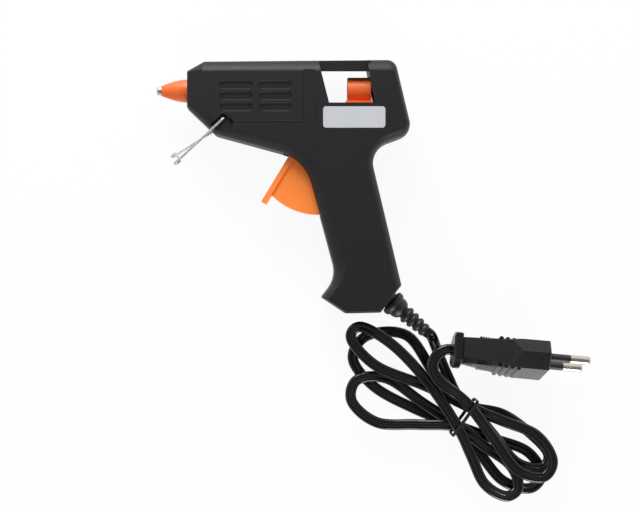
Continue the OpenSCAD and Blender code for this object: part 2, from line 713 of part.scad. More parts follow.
module feeder_pin() color(bright_metal) from_nose()
    translate([link_x, link_y, mid - web_t / 2]) cylinder(d = link_pin_d, h = web_t);

// One-way spring washer that carries the stick forward
tooth_count = 6;
module stick_gripper() color(bright_metal) from_nose() along_x(feeder_rear - gripper_t) difference() {
    cylinder(r = gripper_r, h = gripper_t);
    translate([0, 0, -through]) cylinder(r = stick_d / 2, h = gripper_t + 2 * through);
    for (k = [0:tooth_count - 1]) rotate(360 * k / tooth_count)
        translate([0, -0.3, -through]) cube([stick_d / 2 + 0.6, 0.6, gripper_t + 2 * through]);
}

// Pull-back spring between the feeder's tongue and the post in the left shell
spring_x = [feeder_rear + 0.2, post_x - post_r - 0.2];
coil_x = [spring_x[0] + 1.2, spring_x[1] - 1.2];
turn_steps = 8;
function coil_point(k) =
    let (t = k / (spring_turns * turn_steps), a = 360 * k / turn_steps)
    [coil_x[0] + t * (coil_x[1] - coil_x[0]), link_y + spring_r * sin(a), mid + spring_r * cos(a)];
module return_spring() color(bright_metal) from_nose() {
    coil = [for (k = [0:spring_turns * turn_steps]) coil_point(k)];
    path = concat([[spring_x[0], link_y, mid + spring_r]], coil, [[spring_x[1], link_y, mid + spring_r]]);
    normals = carried_normals(path, [0, 1, 0]);
    swept(path, normals, sides_of(path, normals), ring_shape(spring_wire / 2, 6));
}

// Wire stand: two legs and a foot bar with a step in the middle
foot_step = 2.5;
foot_in = 5;
bend_r = 1.5;
module wire_stand() color(bright_metal) from_nose() {
    near = stand_at + polar(stand_len, near_angle);
    far = stand_at + polar(stand_len, far_angle);
    near_in = stand_at + polar(stand_len - foot_step, near_angle);
    far_in = stand_at + polar(stand_len - foot_step, far_angle);
    low_z = body_thick - wire_z;
    path = bent([
        concat(stand_at, wire_z - bend_r - 0.1), concat(stand_at, wire_z), concat(near, wire_z),
            concat(near, wire_z - foot_in),
        concat(near_in, wire_z - 1.6 * foot_in), concat(far_in, low_z + 1.6 * foot_in),
            concat(far, low_z + foot_in),
        concat(far, low_z), concat(stand_at, low_z), concat(stand_at, low_z + bend_r + 0.1)], bend_r);
    normals = carried_normals(path, [1, 0, 0]);
    swept(path, normals, sides_of(path, normals), ring_shape(wire_d / 2 - 0.03, 8));
    for (z = [wire_z - pivot_depth, low_z + bend_r + 0.1])
        translate([stand_at.x, stand_at.y, z]) cylinder(d = wire_d, h = pivot_depth - bend_r - 0.1);
}

// The cord: lead, hank of seven loops and tail, in one unbroken run in the part's own frame.
// Each loop is [direction, reach, half width out, half width back, waist out, waist back] from the tie,
// with a waist as a share of the half width, and each pass through the tie has a side and a layer.
hank_at = [85.1, -107.9];
hank_angle = -36;
loops = [[-28, 46, 6, 9, 1, 0.5], [148, 61, 17, 9, 0.35, 0.65], [-42, 48.5, 9.5, 8.5, 0.5, 0.5],
         [166.5, 55, 10.5, 10.5, 0.5, 0.5], [-57, 43.2, 7.5, 7.5, 0.5, 0.5], [142, 67, 7.5, 8, 0.8, 0.4],
         [-31.5, 47.5, 9, 9.5, 0.5, 0.5]];
pass_side = [1, 1, -1, -1, -1, -1, 1, 1];
pass_layer = [0, 1, 0, 1, 2, 3, 2, 3];
late_climb = [false, false, true, true, true, false, false];
side_step = 5.5;
layer_step = cord_t + 0.9;
tie_lift = 1.4;
floor_gap = 0.1;

function layer_z(k) = cord_t / 2 + floor_gap + layer_step * pass_layer[k];
function pass_point(k) = concat(hank_at + polar(side_step * pass_side[k], hank_angle + 90),
    layer_z(k) + tie_lift);
function loop_point(k, reach, spread, share) =
    let (l = loops[k], turn = cos(l[0]) > 0 ? 1 : -1, half = spread > 0 ? l[2] : l[3],
         shift = side_step * (pass_side[k] * (1 - share) + pass_side[k + 1] * share) * (1 - reach) )
    concat(hank_at + polar(shift, hank_angle + 90) + polar(l[1] * reach, l[0])
        + polar(turn * spread * half, l[0] + 90),
           layer_z(k) * (1 - share) + layer_z(k + 1) * share);
function loop_points(k) = let (c = late_climb[k] ? [0, 0, 0.4, 0.9] : [0.1, 0.6, 1, 1]) [
    loop_point(k, 0.35, loops[k][4], 0), loop_point(k, 0.7, 1, c[0]), loop_point(k, 0.96, 0.5, c[1]),
    loop_point(k, 0.96, -0.5, c[2]), loop_point(k, 0.7, -1, c[3]), loop_point(k, 0.35, -loops[k][5], 1)];

relief_tip = concat(relief_at - centre + polar(relief_len, relief_angle), mid);
plug_front = [122.16, -80.85];
plug_yaw = -5.2;
plug_tilt = -15;
plug_w = 35.3;
plug_t = 13.7;
plug_flat = 26.1;
plug_z = plug_w / 2 * cos(plug_tilt);
// The grip's rear end stands off the pins' plane by this much
plug_bow = 1.4;
plug_rear = concat(plug_front - polar(plug_len, plug_yaw) + polar(plug_bow * cos(plug_tilt), plug_yaw + 90),
                   plug_z + plug_bow * sin(plug_tilt));
straight_end = 0.5;
lead_points = [
    relief_tip + concat(polar(straight_end, relief_angle), 0),
        relief_tip + concat(polar(4, relief_angle), -0.9),
    [72.6, -76.2, 5.2], [75.7, -83.6, 1.7], [78.8, -90.6, 1.6], [82.2, -97.4, 1.6]];
tail_points = [
    [82.6, -97.7, 14.8], [77, -93.8, 16], [72.2, -89.6, 16.4],
    [69.8, -84.2, 16.6], [71, -79, 16.8], [74.8, -75.9, 16.8],
    plug_rear - concat(polar(straight_end, plug_yaw), 0)];
hank_points = [for (k = [0:len(loops) - 1]) each concat([pass_point(k)], loop_points(k))];
route_points = concat(lead_points, hank_points, [pass_point(len(loops))], tail_points);
cord_route = concat([relief_tip], through_points(route_points), [plug_rear]);
lead_end = 1 + len(lead_points) * curve_steps;
hank_end = lead_end + len(hank_points) * curve_steps;
cord_normals = [for (i = [0:len(cord_route) - 1]) level_normal(cord_route, i)];
cord_sides = sides_of(cord_route, cord_normals);
cord_shape = [for (s = [[1, -0.44], [0.55, -1], [-0.55, -1], [-1, -0.44], [-1, 0.44], [-0.55, 1], [0.55, 1],
    [1, 0.44]])
    [s.x * cord_t / 2, s.y * cord_w / 2]];
function part_of(list, a, b) = [for (i = [a:b]) list[i]];
module cord_run(a, b) color(soft_black)
    swept(part_of(cord_route, a, b), part_of(cord_normals, a, b), part_of(cord_sides, a, b), cord_shape);
module cord_lead() cord_run(0, lead_end);
module cord_hank() cord_run(lead_end, hank_end);
module cord_tail() cord_run(hank_end, len(cord_route) - 1);

// Least gap between two stretches of the cord: the corners of one section against the other's flat length
apart = 8;
look_round = cord_w + 3;
function corner_at(i, s) = cord_route[i] + s.x * cord_normals[i] + s.y * cord_sides[i];
function room_beside(p, j) =
    let (d = p - cord_route[j], run = norm(cord_route[j + 1] - cord_route[j - 1]) / 4)
    max(abs(d * cord_sides[j]) - cord_w / 2, abs(d * cord_normals[j]) - cord_t / 2,
        abs(d * cross(cord_normals[j], cord_sides[j])) - run);
cord_gap = min([for (i = [0:len(cord_route) - 1], j = [1:len(cord_route) - 2])
    if (abs(i - j) >= apart && norm(cord_route[i] - cord_route[j]) < look_round)
        for (s = cord_shape) room_beside(corner_at(i, s), j)]);
echo(cord_length = length_of(cord_route), cord_gap = cord_gap);

// Tie round the hank's waist
tie_t = 1;
tie_w = 1.6;
tie_half = side_step + cord_w / 2 + 1.2;
tie_low = floor_gap;
tie_high = layer_z(len(loops)) + tie_lift + cord_t / 2 + 0.5 + tie_t;
tie_cut = 1.2;
function tie_line(inset) =
    let (x = tie_half + tie_t - inset, y0 = tie_low + inset, y1 = tie_high - inset, c = tie_cut)
    [[-x, y0 + 0.2], [-x + 0.2, y0], [x - 0.2, y0], [x, y0 + 0.2], [x, y1 - c], [x - c, y1], [-x + c, y1],
        [-x, y1 - c]];
module cord_tie() color([0.2, 0.2, 0.2])
    translate([hank_at.x, hank_at.y, 0]) rotate([90, 0, hank_angle + 90]) translate([0, 0, -tie_w / 2])
        linear_extrude(tie_w) difference() {
            polygon(tie_line(0));
            polygon(tie_line(tie_t));
        }

// Two-pin plug, standing on its lower edge: x runs to the pins, z across them
flange_len = 4;
flange_h = 16.2;
flange_deep = 20;
flange_flat = 6;
grip_w = [17, 31];
grip_flat = [3, 28];
grip_t = [12.4, 12.6];
front_len = 16;
sleeve_len = 9.8;
pin_len = 19;
core_r = 1.45;
module at_plug() translate(concat(plug_front, plug_z)) rotate([0, 0, plug_yaw]) rotate([plug_tilt, 0, 0])
    children();
function hexagon(w, flat, t) = [[-flat / 2, t / 2], [flat / 2, t / 2], [w / 2, 0], [flat / 2, -t / 2],
    [-flat / 2, -t / 2], [-w / 2, 0]];
module slice(x, points, off = 0) translate([x, off, 0]) rotate([90, 0, 90]) rotate(90) linear_extrude(0.02)
    polygon(points);
module plug_body() color([0.12, 0.12, 0.13]) at_plug() {
    hull() {
        slice(-0.02, hexagon(plug_w, plug_flat, plug_t));
        slice(-front_len, hexagon(plug_w - 2, plug_flat - 2, plug_t));
    }
    hull() {
        slice(-front_len, hexagon(grip_w[1], grip_flat[1], grip_t[1]));
        slice(-plug_len + flange_len, hexagon(grip_w[0], grip_flat[0], grip_t[0]), plug_bow);
    }
    hull() {
        slice(-plug_len + flange_len, hexagon(flange_deep, flange_flat, flange_h), plug_bow);
        slice(-plug_len, hexagon(flange_deep - 1, flange_flat - 1, flange_h - 1), plug_bow);
    }
}
module pin_sleeves() color(soft_black) at_plug()
    for (s = [-1, 1]) along_x(0, 0, s * pin_gap / 2) difference() {
        cylinder(d = pin_d, h = sleeve_len);
        translate([0, 0, -through]) cylinder(r = core_r + slip / 2, h = sleeve_len + 2 * through);
    }
module plug_pins() color(bright_metal) at_plug()
    for (s = [-1, 1]) along_x(0, 0, s * pin_gap / 2) rotate_extrude()
        polygon([[0, 0], [core_r, 0], [core_r, sleeve_len], [pin_d / 2, sleeve_len], [pin_d / 2, pin_len - 1],
                 [pin_d / 2 - 0.9, pin_len], [0, pin_len]]);

left_shell();
right_shell();
housing_screws();
label_plate();
nozzle_tip();
nozzle_sleeve();
melt_chamber();
ptc_heater();
heater_electrodes();
insulating_film();
heater_clip();
inlet_sleeve();
sleeve_clamp();
lead_wires();
crimp_splices();
cord_stub();
strain_relief();
trigger();
trigger_pin();
feeder();
feeder_pin();
stick_gripper();
return_spring();
wire_stand();
cord_lead();
cord_hank();
cord_tail();
cord_tie();
plug_body();
pin_sleeves();
plug_pins();
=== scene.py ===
# %% [markdown]
# # A small hot glue gun with its tied mains lead
#
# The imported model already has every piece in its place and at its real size.
# This lesson dresses it: each cell makes one piece or one finish in Blender, in the same frame.
# Sizes are in millimetres, as a maker would write them, and are turned to metres at the last moment.

# %% Load the frame
import math

import bmesh
import bpy
import numpy as np
from mathutils import Matrix, Vector


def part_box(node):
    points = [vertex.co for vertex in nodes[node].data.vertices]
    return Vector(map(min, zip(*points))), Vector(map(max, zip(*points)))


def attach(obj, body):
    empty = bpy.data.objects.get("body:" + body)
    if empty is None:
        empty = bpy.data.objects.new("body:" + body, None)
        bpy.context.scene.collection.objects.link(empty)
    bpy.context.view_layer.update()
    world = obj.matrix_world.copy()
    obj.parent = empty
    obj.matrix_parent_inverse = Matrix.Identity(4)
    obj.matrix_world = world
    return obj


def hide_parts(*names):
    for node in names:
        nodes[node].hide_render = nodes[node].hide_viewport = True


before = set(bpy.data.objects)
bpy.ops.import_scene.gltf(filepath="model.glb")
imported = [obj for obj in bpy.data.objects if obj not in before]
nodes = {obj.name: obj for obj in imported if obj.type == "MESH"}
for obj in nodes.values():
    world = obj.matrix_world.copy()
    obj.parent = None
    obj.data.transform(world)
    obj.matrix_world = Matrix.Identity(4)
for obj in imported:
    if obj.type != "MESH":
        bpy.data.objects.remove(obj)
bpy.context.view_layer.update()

MM = 0.001
scene = bpy.context.scene
print("solids loaded:", len(nodes))

# %% [markdown]
# ## Where the drawing's zero lies
#
# The gun was drawn from its nose: x runs back from the nose face, y is the height over the barrel axis.
# The drawing gives the place of the trigger's pin, and the frame knows it too. The difference
# between the two carries every other point of the drawing across.

# %% Find the drawing's zero
PIVOT = (61.6, -27.1)
THICK = 28.0
MID = THICK / 2
pin_low, pin_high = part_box("trigger_pin")
pin_centre = (pin_low + pin_high) / 2 / MM
NOSE = Matrix.Translation((pin_centre.x - PIVOT[0], pin_centre.y - PIVOT[1], 0))
PART = Matrix.Identity(4)
print("drawing shifted by", [round(v, 2) for v in NOSE.translation])

# %% [markdown]
# ## The camera
#
# The gun lies flat and the camera hangs straight over it. A new Blender camera already looks down, so
# it needs no turn. A long lens keeps the sides from spreading.

# %% Hang the camera
CAMERA_AT = (17.25, -31.95, 680.0)
LENS = 80.1
camera = bpy.data.objects.new("camera", bpy.data.cameras.new("camera"))
camera.location = Vector(CAMERA_AT) * MM
camera.data.lens = LENS
scene.collection.objects.link(camera)
scene.camera = camera
print("camera height:", camera.location.z)

# %% [markdown]
# ## Colours and nodes
#
# Colours are picked as the eye sees them, in sRGB, while a shader counts in linear light.
# One function turns the first into the second. Others add a node with its settings and links, so
# that a finish below reads as a short recipe.

# %% Helpers for finishes
def linear(colour):
    """An sRGB hex colour as linear red, green, blue and alpha."""
    parts = [int(colour[i:i + 2], 16) / 255 for i in (1, 3, 5)]
    return (*[p / 12.92 if p <= 0.04045 else ((p + 0.055) / 1.055) ** 2.4 for p in parts], 1.0)


def add(tree, kind, inputs=None, **settings):
    """A new node; an input that is a socket is linked, and any other is set."""
    node = tree.nodes.new(kind)
    for key, value in settings.items():
        setattr(node, key, value)
    for key, value in (inputs or {}).items():
        if isinstance(value, bpy.types.NodeSocket):
            tree.links.new(value, node.inputs[key])
        else:
            node.inputs[key].default_value = value
    return node


def worked(tree, operation, *values):
    """The result of one sum on sockets or numbers."""
    return add(tree, "ShaderNodeMath", dict(enumerate(values)), operation=operation).outputs[0]


def grained(name, colour, second, roughness, grain_mm, depth_mm, cloud_mm=14, **shader_inputs):
    """A finish with two close colours in soft clouds and a fine grain that breaks up its gloss."""
    made = bpy.data.materials.new(name)
    made.use_nodes = True
    tree = made.node_tree
    shader = tree.nodes["Principled BSDF"]
    where = add(tree, "ShaderNodeTexCoord").outputs["Object"]
    grain = add(tree, "ShaderNodeTexNoise", {"Vector": where, "Scale": 1 / (grain_mm * MM), "Detail": 3.0})
    cloud = add(tree, "ShaderNodeTexNoise", {"Vector": where, "Scale": 1 / (cloud_mm * MM), "Detail": 2.0})
    tint = add(tree, "ShaderNodeMix", {0: cloud.outputs["Fac"], 6: linear(colour), 7: linear(second)},
               data_type="RGBA")
    gloss = add(tree, "ShaderNodeMapRange", {"Value": grain.outputs["Fac"], "From Min": 0.3, "From Max": 0.7,
                                             "To Min": roughness[0], "To Max": roughness[1]})
    bump = add(tree, "ShaderNodeBump", {"Height": grain.outputs["Fac"], "Strength": 0.5,
                                        "Distance": depth_mm * MM})
    tree.links.new(tint.outputs[2], shader.inputs["Base Color"])
    tree.links.new(gloss.outputs["Result"], shader.inputs["Roughness"])
    tree.links.new(bump.outputs["Normal"], shader.inputs["Normal"])
    for key, value in shader_inputs.items():
        shader.inputs[key.replace("_", " ")].default_value = value
    print("finish:", name)
    return made


# %% [markdown]
# ## Meshes from rings
#
# Most pieces here are a row of rings: a tube along a path, a turned part, a moulded part between two
# heights. So one function skins a row of rings, and one makes a closed mesh of the result.

# %% Helpers for meshes
def loft(rings, closed=False):
    """Points and faces that skin a row of rings, with flat ends unless the row closes on itself."""
    count = len(rings[0])
    steps = len(rings) if closed else len(rings) - 1
    faces = []
    for k in range(steps):
        a = k * count
        b = (k + 1) % len(rings) * count
        faces += [(a + i, a + (i + 1) % count, b + (i + 1) % count, b + i) for i in range(count)]
    if not closed:
        last = (len(rings) - 1) * count
        faces += [tuple(reversed(range(count))), tuple(range(last, last + count))]
    return np.concatenate([np.asarray(r, float) for r in rings]), faces


def solid(name, skin, material, place=NOSE):
    """A mesh object from a skin in millimetres, with doubles merged and its faces outwards."""
    points, faces = skin
    bm = bmesh.new()
    verts = [bm.verts.new(place @ Vector(p) * MM) for p in points]
    for face in faces:
        bm.faces.new([verts[i] for i in face])
    bmesh.ops.remove_doubles(bm, verts=bm.verts, dist=0.0005 * MM)
    bmesh.ops.recalc_face_normals(bm, faces=bm.faces)
    mesh = bpy.data.meshes.new(name)
    bm.to_mesh(mesh)
    bm.free()
    mesh.materials.append(material)
    made = bpy.data.objects.new(name, mesh)
    scene.collection.objects.link(made)
    return made


def smooth(piece, angle=30):
    """Smooth shading, with edges sharper than the angle kept."""
    piece.data.polygons.foreach_set("use_smooth", [True] * len(piece.data.polygons))
    piece.data.set_sharp_from_angle(angle=math.radians(angle))
    return piece


def plain_mesh(piece):
    """Gives the piece the mesh that its modifiers make, and removes them."""
    graph = bpy.context.evaluated_depsgraph_get()
    made = bpy.data.meshes.new_from_object(piece.evaluated_get(graph), depsgraph=graph)
    piece.modifiers.clear()
    old = piece.data
    piece.data = made
    bpy.data.meshes.remove(old)
    made.name = piece.name
    return piece


def rounded(piece, width_mm, segments=3, angle=35):
    """Edges sharper than the angle rounded off, as a mould's edges are."""
    bevel = piece.modifiers.new("rounding", "BEVEL")
    bevel.width = width_mm * MM
    bevel.segments = segments
    bevel.limit_method = "ANGLE"
    bevel.angle_limit = math.radians(angle)
    return plain_mesh(piece)


def joined(piece, others, operation):
    """The piece with the others joined to it or cut from it. The others are used up."""
    group = bpy.data.collections.new("operands")
    for other in others:
        group.objects.link(other)
    step = piece.modifiers.new(operation.lower(), "BOOLEAN")
    step.operation = operation
    step.operand_type = "COLLECTION"
    step.collection = group
    step.solver = "EXACT"
    plain_mesh(piece)
    for other in others:
        bpy.data.meshes.remove(other.data)
    bpy.data.collections.remove(group)
    return piece


def moved(piece, place):
    """The piece moved to a place that is given in millimetres."""
    in_metres = place.copy()
    in_metres.translation *= MM
    piece.data.transform(in_metres)
    return piece


def settled(piece, body, slot, *replaced):
    """Puts the piece on the body it rides on and hides the solids it stands for. The slot argument is not
    used.
    """
    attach(piece, body)
    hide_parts(*replaced)
    print("made", piece.name, "with", len(piece.data.polygons), "faces for", ", ".join(replaced))
    return piece


def polar(r, degrees):
    return np.array([r * math.cos(math.radians(degrees)), r * math.sin(math.radians(degrees))])


def circle(r, count):
    return np.array([polar(r, 360 * k / count) for k in range(count)])


# %% [markdown]
# ## The mains lead
#
# The lead is a flat cord, two round cores side by side with a groove between them. Its route is the
# drawing's: out of the boot at the heel, down to the table, seven loops that all pass under one tie,
# and up to the plug. A curve with a bevel would make a round cord, so the section is swept as a mesh.

# %% PVC for the lead
# Soft PVC, extruded: near black and glossy, so that it shows thin bright lines along its cores.
lead_pvc = grained("extruded_black_pvc", "#040405", "#08080a", (0.14, 0.22), 6, 0.004, 25)

# %% The lead's route
CORD_W, CORD_T = 5.4, 2.8
RELIEF_ANGLE = -40.7
RELIEF_TIP = np.array([66.487, -66.951, MID])
PLUG_FRONT, PLUG_YAW, PLUG_TILT = np.array([122.16, -80.85]), -5.2, -15.0
PLUG_LEN, PLUG_W, PLUG_BOW = 43.6, 35.3, 1.4
PLUG_Z = PLUG_W / 2 * math.cos(math.radians(PLUG_TILT))
plug_shift = polar(PLUG_BOW, PLUG_TILT)
PLUG_REAR = np.append(PLUG_FRONT - polar(PLUG_LEN, PLUG_YAW) + polar(plug_shift[0], PLUG_YAW + 90),
                      PLUG_Z + plug_shift[1])
HANK_AT, HANK_ANGLE = np.array([85.1, -107.9]), -36.0
# Each loop: direction, reach, half widths out and back, and the share of each half width at its waist
LOOPS = [(-28, 46, 6, 9, 1, 0.5), (148, 61, 17, 9, 0.35, 0.65), (-42, 48.5, 9.5, 8.5, 0.5, 0.5),
         (166.5, 55, 10.5, 10.5, 0.5, 0.5), (-57, 43.2, 7.5, 7.5, 0.5, 0.5), (142, 67, 7.5, 8, 0.8, 0.4),
         (-31.5, 47.5, 9, 9.5, 0.5, 0.5)]
# Each pass under the tie: its side and its layer. Each loop: whether it climbs late.
PASS_SIDE = [1, 1, -1, -1, -1, -1, 1, 1]
PASS_LAYER = [0, 1, 0, 1, 2, 3, 2, 3]
LATE_CLIMB = [False, False, True, True, True, False, False]
SIDE_STEP, LAYER_STEP, TIE_LIFT, FLOOR_GAP, STRAIGHT_END = 5.5, CORD_T + 0.9, 1.4, 0.1, 0.5


def layer_z(k):
    return CORD_T / 2 + FLOOR_GAP + LAYER_STEP * PASS_LAYER[k]


def pass_point(k):
    across = polar(SIDE_STEP * PASS_SIDE[k], HANK_ANGLE + 90)
    return np.append(HANK_AT + across, layer_z(k) + TIE_LIFT)


def loop_point(k, reach, spread, share):
    """A point of loop k: how far out, how far to one side, and how far it has climbed."""
    way, length, out_half, back_half = LOOPS[k][:4]
    half_width = out_half if spread > 0 else back_half
    turn = 1 if math.cos(math.radians(way)) > 0 else -1
    side = PASS_SIDE[k] * (1 - share) + PASS_SIDE[k + 1] * share
    shift = polar(SIDE_STEP * side * (1 - reach), HANK_ANGLE + 90)
    at = HANK_AT + shift + polar(length * reach, way) + polar(turn * spread * half_width, way + 90)
    return np.append(at, layer_z(k) * (1 - share) + layer_z(k + 1) * share)


def loop_points(k):
    climb = (0, 0, 0.4, 0.9) if LATE_CLIMB[k] else (0.1, 0.6, 1, 1)
    stations = [(0.35, LOOPS[k][4], 0), (0.7, 1, climb[0]), (0.96, 0.5, climb[1]),
                (0.96, -0.5, climb[2]), (0.7, -1, climb[3]), (0.35, -LOOPS[k][5], 1)]
    return [loop_point(k, *station) for station in stations]


def through_points(points, steps):
    """A smooth curve through every point."""
    made = []
    last = len(points) - 1
    for i in range(last):
        a, b, c, d = points[max(i - 1, 0)], points[i], points[i + 1], points[min(i + 2, last)]
        for k in range(steps):
            t = k / steps
            made.append(b + 0.5 * t * (c - a + t * (2 * a - 5 * b + 4 * c - d + t * (3 * (b - c) + d - a))))
    return made + [points[-1]]


LEAD_DOWN = np.array([(72.6, -76.2, 5.2), (75.7, -83.6, 1.7), (78.8, -90.6, 1.6), (82.2, -97.4, 1.6)])
TAIL_UP = np.array([(82.6, -97.7, 14.8), (77, -93.8, 16), (72.2, -89.6, 16.4), (69.8, -84.2, 16.6),
                    (71, -79, 16.8), (74.8, -75.9, 16.8)])
ROUTE_STEPS = 9
lead_points = [RELIEF_TIP + np.append(polar(STRAIGHT_END, RELIEF_ANGLE), 0),
               RELIEF_TIP + np.append(polar(4, RELIEF_ANGLE), -0.9), *LEAD_DOWN]
hank_points = [p for k in range(len(LOOPS)) for p in [pass_point(k), *loop_points(k)]]
hank_points.append(pass_point(len(LOOPS)))
tail_points = [*TAIL_UP, PLUG_REAR - np.append(polar(STRAIGHT_END, PLUG_YAW), 0)]
curve = through_points([*lead_points, *hank_points, *tail_points], ROUTE_STEPS)
route = np.array([RELIEF_TIP, *curve, PLUG_REAR])
route_length = float(np.linalg.norm(np.diff(route, axis=0), axis=1).sum()) * MM
print("route points:", len(route), "length:", round(route_length, 4))


# %% The lead's section, swept along its route
def unit(v):
    return v / np.linalg.norm(v)


def tangents(path):
    ahead = np.concatenate([path[1:], path[-1:]])
    behind = np.concatenate([path[:1], path[:-1]])
    return np.array([unit(v) for v in ahead - behind])


def sweep(path, section, normals):
    """Rings of the section along the path: its first number goes up the normal, its second sideways."""
    sides = np.cross(tangents(path), normals)
    return [path[i] + np.outer(section[:, 0], normals[i]) + np.outer(section[:, 1], sides[i])
            for i in range(len(path))]


CORE_R = CORD_T / 2 - 0.02
CORE_AT = CORD_W / 2 - CORE_R - 0.12
GROOVE_HALF = 0.25
groove_turn = math.degrees(math.acos((GROOVE_HALF - CORE_AT) / CORE_R))
core_arc = [polar(CORE_R, a) for a in np.linspace(-groove_turn, groove_turn, 15)]
one_core = np.array([(-p[1], p[0] + CORE_AT) for p in core_arc])
lead_section = np.concatenate([one_core, -one_core])
up = np.array([0.0, 0.0, 1.0])
lead_normals = np.array([unit(up - t * t[2]) for t in tangents(route)])
lead = solid("mains_lead", loft(sweep(route, lead_section, lead_normals)), lead_pvc, PART)
settled(smooth(lead, 50), "housing", "cord", "cord_lead", "cord_hank", "cord_tail")

# %% [markdown]
# ## The housing's outline
#
# Both half shells have one outline, a chain of straight edges with rounded corners. Each edge also
# says how far the moulded rounding reaches in from it, as the real gun is soft along the belly and
# crisp along the heel. Moving every edge in by a share of that gives the rings of the rounding.


# %% Outline with rounded corners
def corner_ways(corners):
    """Each corner with its place, the way into it and the way out of it."""
    places = np.array([corner[:2] for corner in corners])
    ways = [unit(after - p) for p, after in zip(places, np.roll(places, -1, axis=0))]
    return [(corner, places[i], ways[i - 1], ways[i]) for i, corner in enumerate(corners)]


def corner_arcs(corners, steps=8):
    """The outline as points, with each corner an arc."""
    made = []
    for corner, p, u, v in corner_ways(corners):
        turn = math.acos(max(-1.0, min(1.0, float(u @ v))))
        right = np.array([u[1], -u[0]])
        side = right if u[0] * v[1] - u[1] * v[0] < 0 else -right
        r = corner[2]
        centre = p - u * r * math.tan(turn / 2) + side * r
        made += [centre + r * (u * math.sin(turn * k / steps) - side * math.cos(turn * k / steps))
                 for k in range(steps + 1)]
    return np.array(made)


LEAST_R = 0.3


def moved_in(corners, share, even):
    """Each edge of a clockwise outline moved in by a share of its own inset, plus an even depth."""
    made = []
    for i, (corner, p, u, v) in enumerate(corner_ways(corners)):
        d_in = share * corners[i - 1][3] + even
        d_out = share * corner[3] + even
        start = p + np.array([u[1], -u[0]]) * d_in
        other = p + np.array([v[1], -v[0]]) * d_out
        gap = other - start
        turn = u[0] * v[1] - u[1] * v[0]
        q = start + u * (gap[0] * v[1] - gap[1] * v[0]) / turn
        change = (d_in + d_out) / 2
        r = max(corner[2] + (change if turn > 0 else -change), LEAST_R)
        made.append((q[0], q[1], r, corner[3]))
    return made


def at_height(outline, z):
    return np.column_stack([outline, np.full(len(outline), z)])


def ring_at(z, corners, share=0, even=0):
    """The rounded outline, moved in and set at a height."""
    return at_height(corner_arcs(moved_in(corners, share, even)), z)


RAKE = 13.4
rake_tan = math.tan(math.radians(RAKE))
BODY_LEN, TOP_H, REAR_DROP, NOSE_FACE, BROW_X = 100.6, 13.7, 20.2, 0.7, 8.9
rear_top = np.array([BODY_LEN - TOP_H * rake_tan, TOP_H])
rear_low = np.array([BODY_LEN + REAR_DROP * rake_tan, -REAR_DROP])
handle_top = np.array([85.4, -27.7])
heel = handle_top + polar(64.7, RAKE - 90)
heel_low = heel + polar(16.3, 232.7)
base_front = heel_low - np.array([16.4, 0.4])
toe = base_front + polar(13.8, 146.2)
palm_low = toe + np.array([7.2, 9.3])
# Each corner: x, y, its radius, and the inset of the edge that follows it
BODY = [(NOSE_FACE, 8.3, 1.2, 4.5), (BROW_X, 12.9, 1.5, 5.5), (*rear_top, 5.2, 2), (*rear_low, 6.5, 3.5),
        (*handle_top, 10, 3.2), (*heel, 1.5, 1), (*heel_low, 1, 1), (*base_front, 1.5, 1), (*toe, 0.8, 3),
        (*palm_low, 13, 7), (55.1, -32.4, 20, 6), (13.9, -21.2, 1.5, 4.5), (NOSE_FACE, -8.7, 1.5, 2)]
print("outline points:", len(corner_arcs(BODY)))

# %% [markdown]
# ## The two half shells
#
# Each half is an injection-moulded tray: a rounded outside, a wall of 2 mm and ribs inside.
# The skin is one loft, inside rings first and then the outside ones. The ribs and bosses are joined
# to it, and the window, slots, vents and pockets are cut from it with Boolean modifiers.
# A cutter that widens at its mouth leaves the small chamfer that catches the light on a real rim.

# %% ABS for the housing
# ABS, moulded in a spark-eroded tool: almost black, matt, with a fine even tooth.
# The tooth is about 0.1 mm on the real gun and is drawn at 0.5 mm, so that it shows at all.
housing_abs = grained("moulded_black_abs", "#141316", "#171619", (0.46, 0.6), 0.5, 0.012, 30,
                      Specular_IOR_Level=0.35)

# %% Trays
WALL, EDGE_DEPTH, PARTING = 2.0, 5.0, 0.25
DRAFT, EDGE_POWER = 0.35, 1.6
EDGE_TURNS = np.linspace(0, 90, 13)


def outer_rings():
    """Rings of the left tray, from its rim up the outside to its face."""
    made = [ring_at(MID, BODY, 0, PARTING), ring_at(MID + PARTING, BODY)]
    for turn in np.radians(EDGE_TURNS):
        inset = 1 - abs(math.cos(turn)) ** (2 / EDGE_POWER)
        drop = 1 - abs(math.sin(turn)) ** (2 / EDGE_POWER)
        made.append(ring_at(THICK - EDGE_DEPTH * drop, BODY, inset, DRAFT))
    return made


def inner_rings():
    """Rings of the left tray, from under its face down the inside to its rim."""
    return [ring_at(THICK - WALL, BODY, 1, WALL), ring_at(THICK - 6, BODY, 0, WALL),
            ring_at(MID, BODY, 0, WALL)]


def tray(name):
    return solid(name, loft(inner_rings() + outer_rings()), housing_abs)


# %% Ribs and bosses inside
def prism(points, z0, z1):
    """A straight block over a flat outline."""
    return loft([at_height(np.array(points, float), z0), at_height(np.array(points, float), z1)])


def block(x0, x1, y0, y1, z0, z1):
    return prism([(x0, y0), (x1, y0), (x1, y1), (x0, y1)], z0, z1)


def post(x, y, r, z0, z1, count=32):
    return prism(circle(r, count) + np.array([x, y]), z0, z1)


def turned(profile, count=48, closed=False):
    """A part turned about the x axis: the profile is a list of (x, radius)."""
    ring = circle(1, count)
    rings = [np.column_stack([np.full(count, x), r * ring[:, 0], r * ring[:, 1]]) for x, r in profile]
    return loft(rings, closed)


def along_axis(x=0, y=0, z=MID, degrees=0):
    """Where a turned part's axis lies in the drawing."""
    return NOSE @ Matrix.Translation((x, y, z)) @ Matrix.Rotation(math.radians(degrees), 4, "Z")


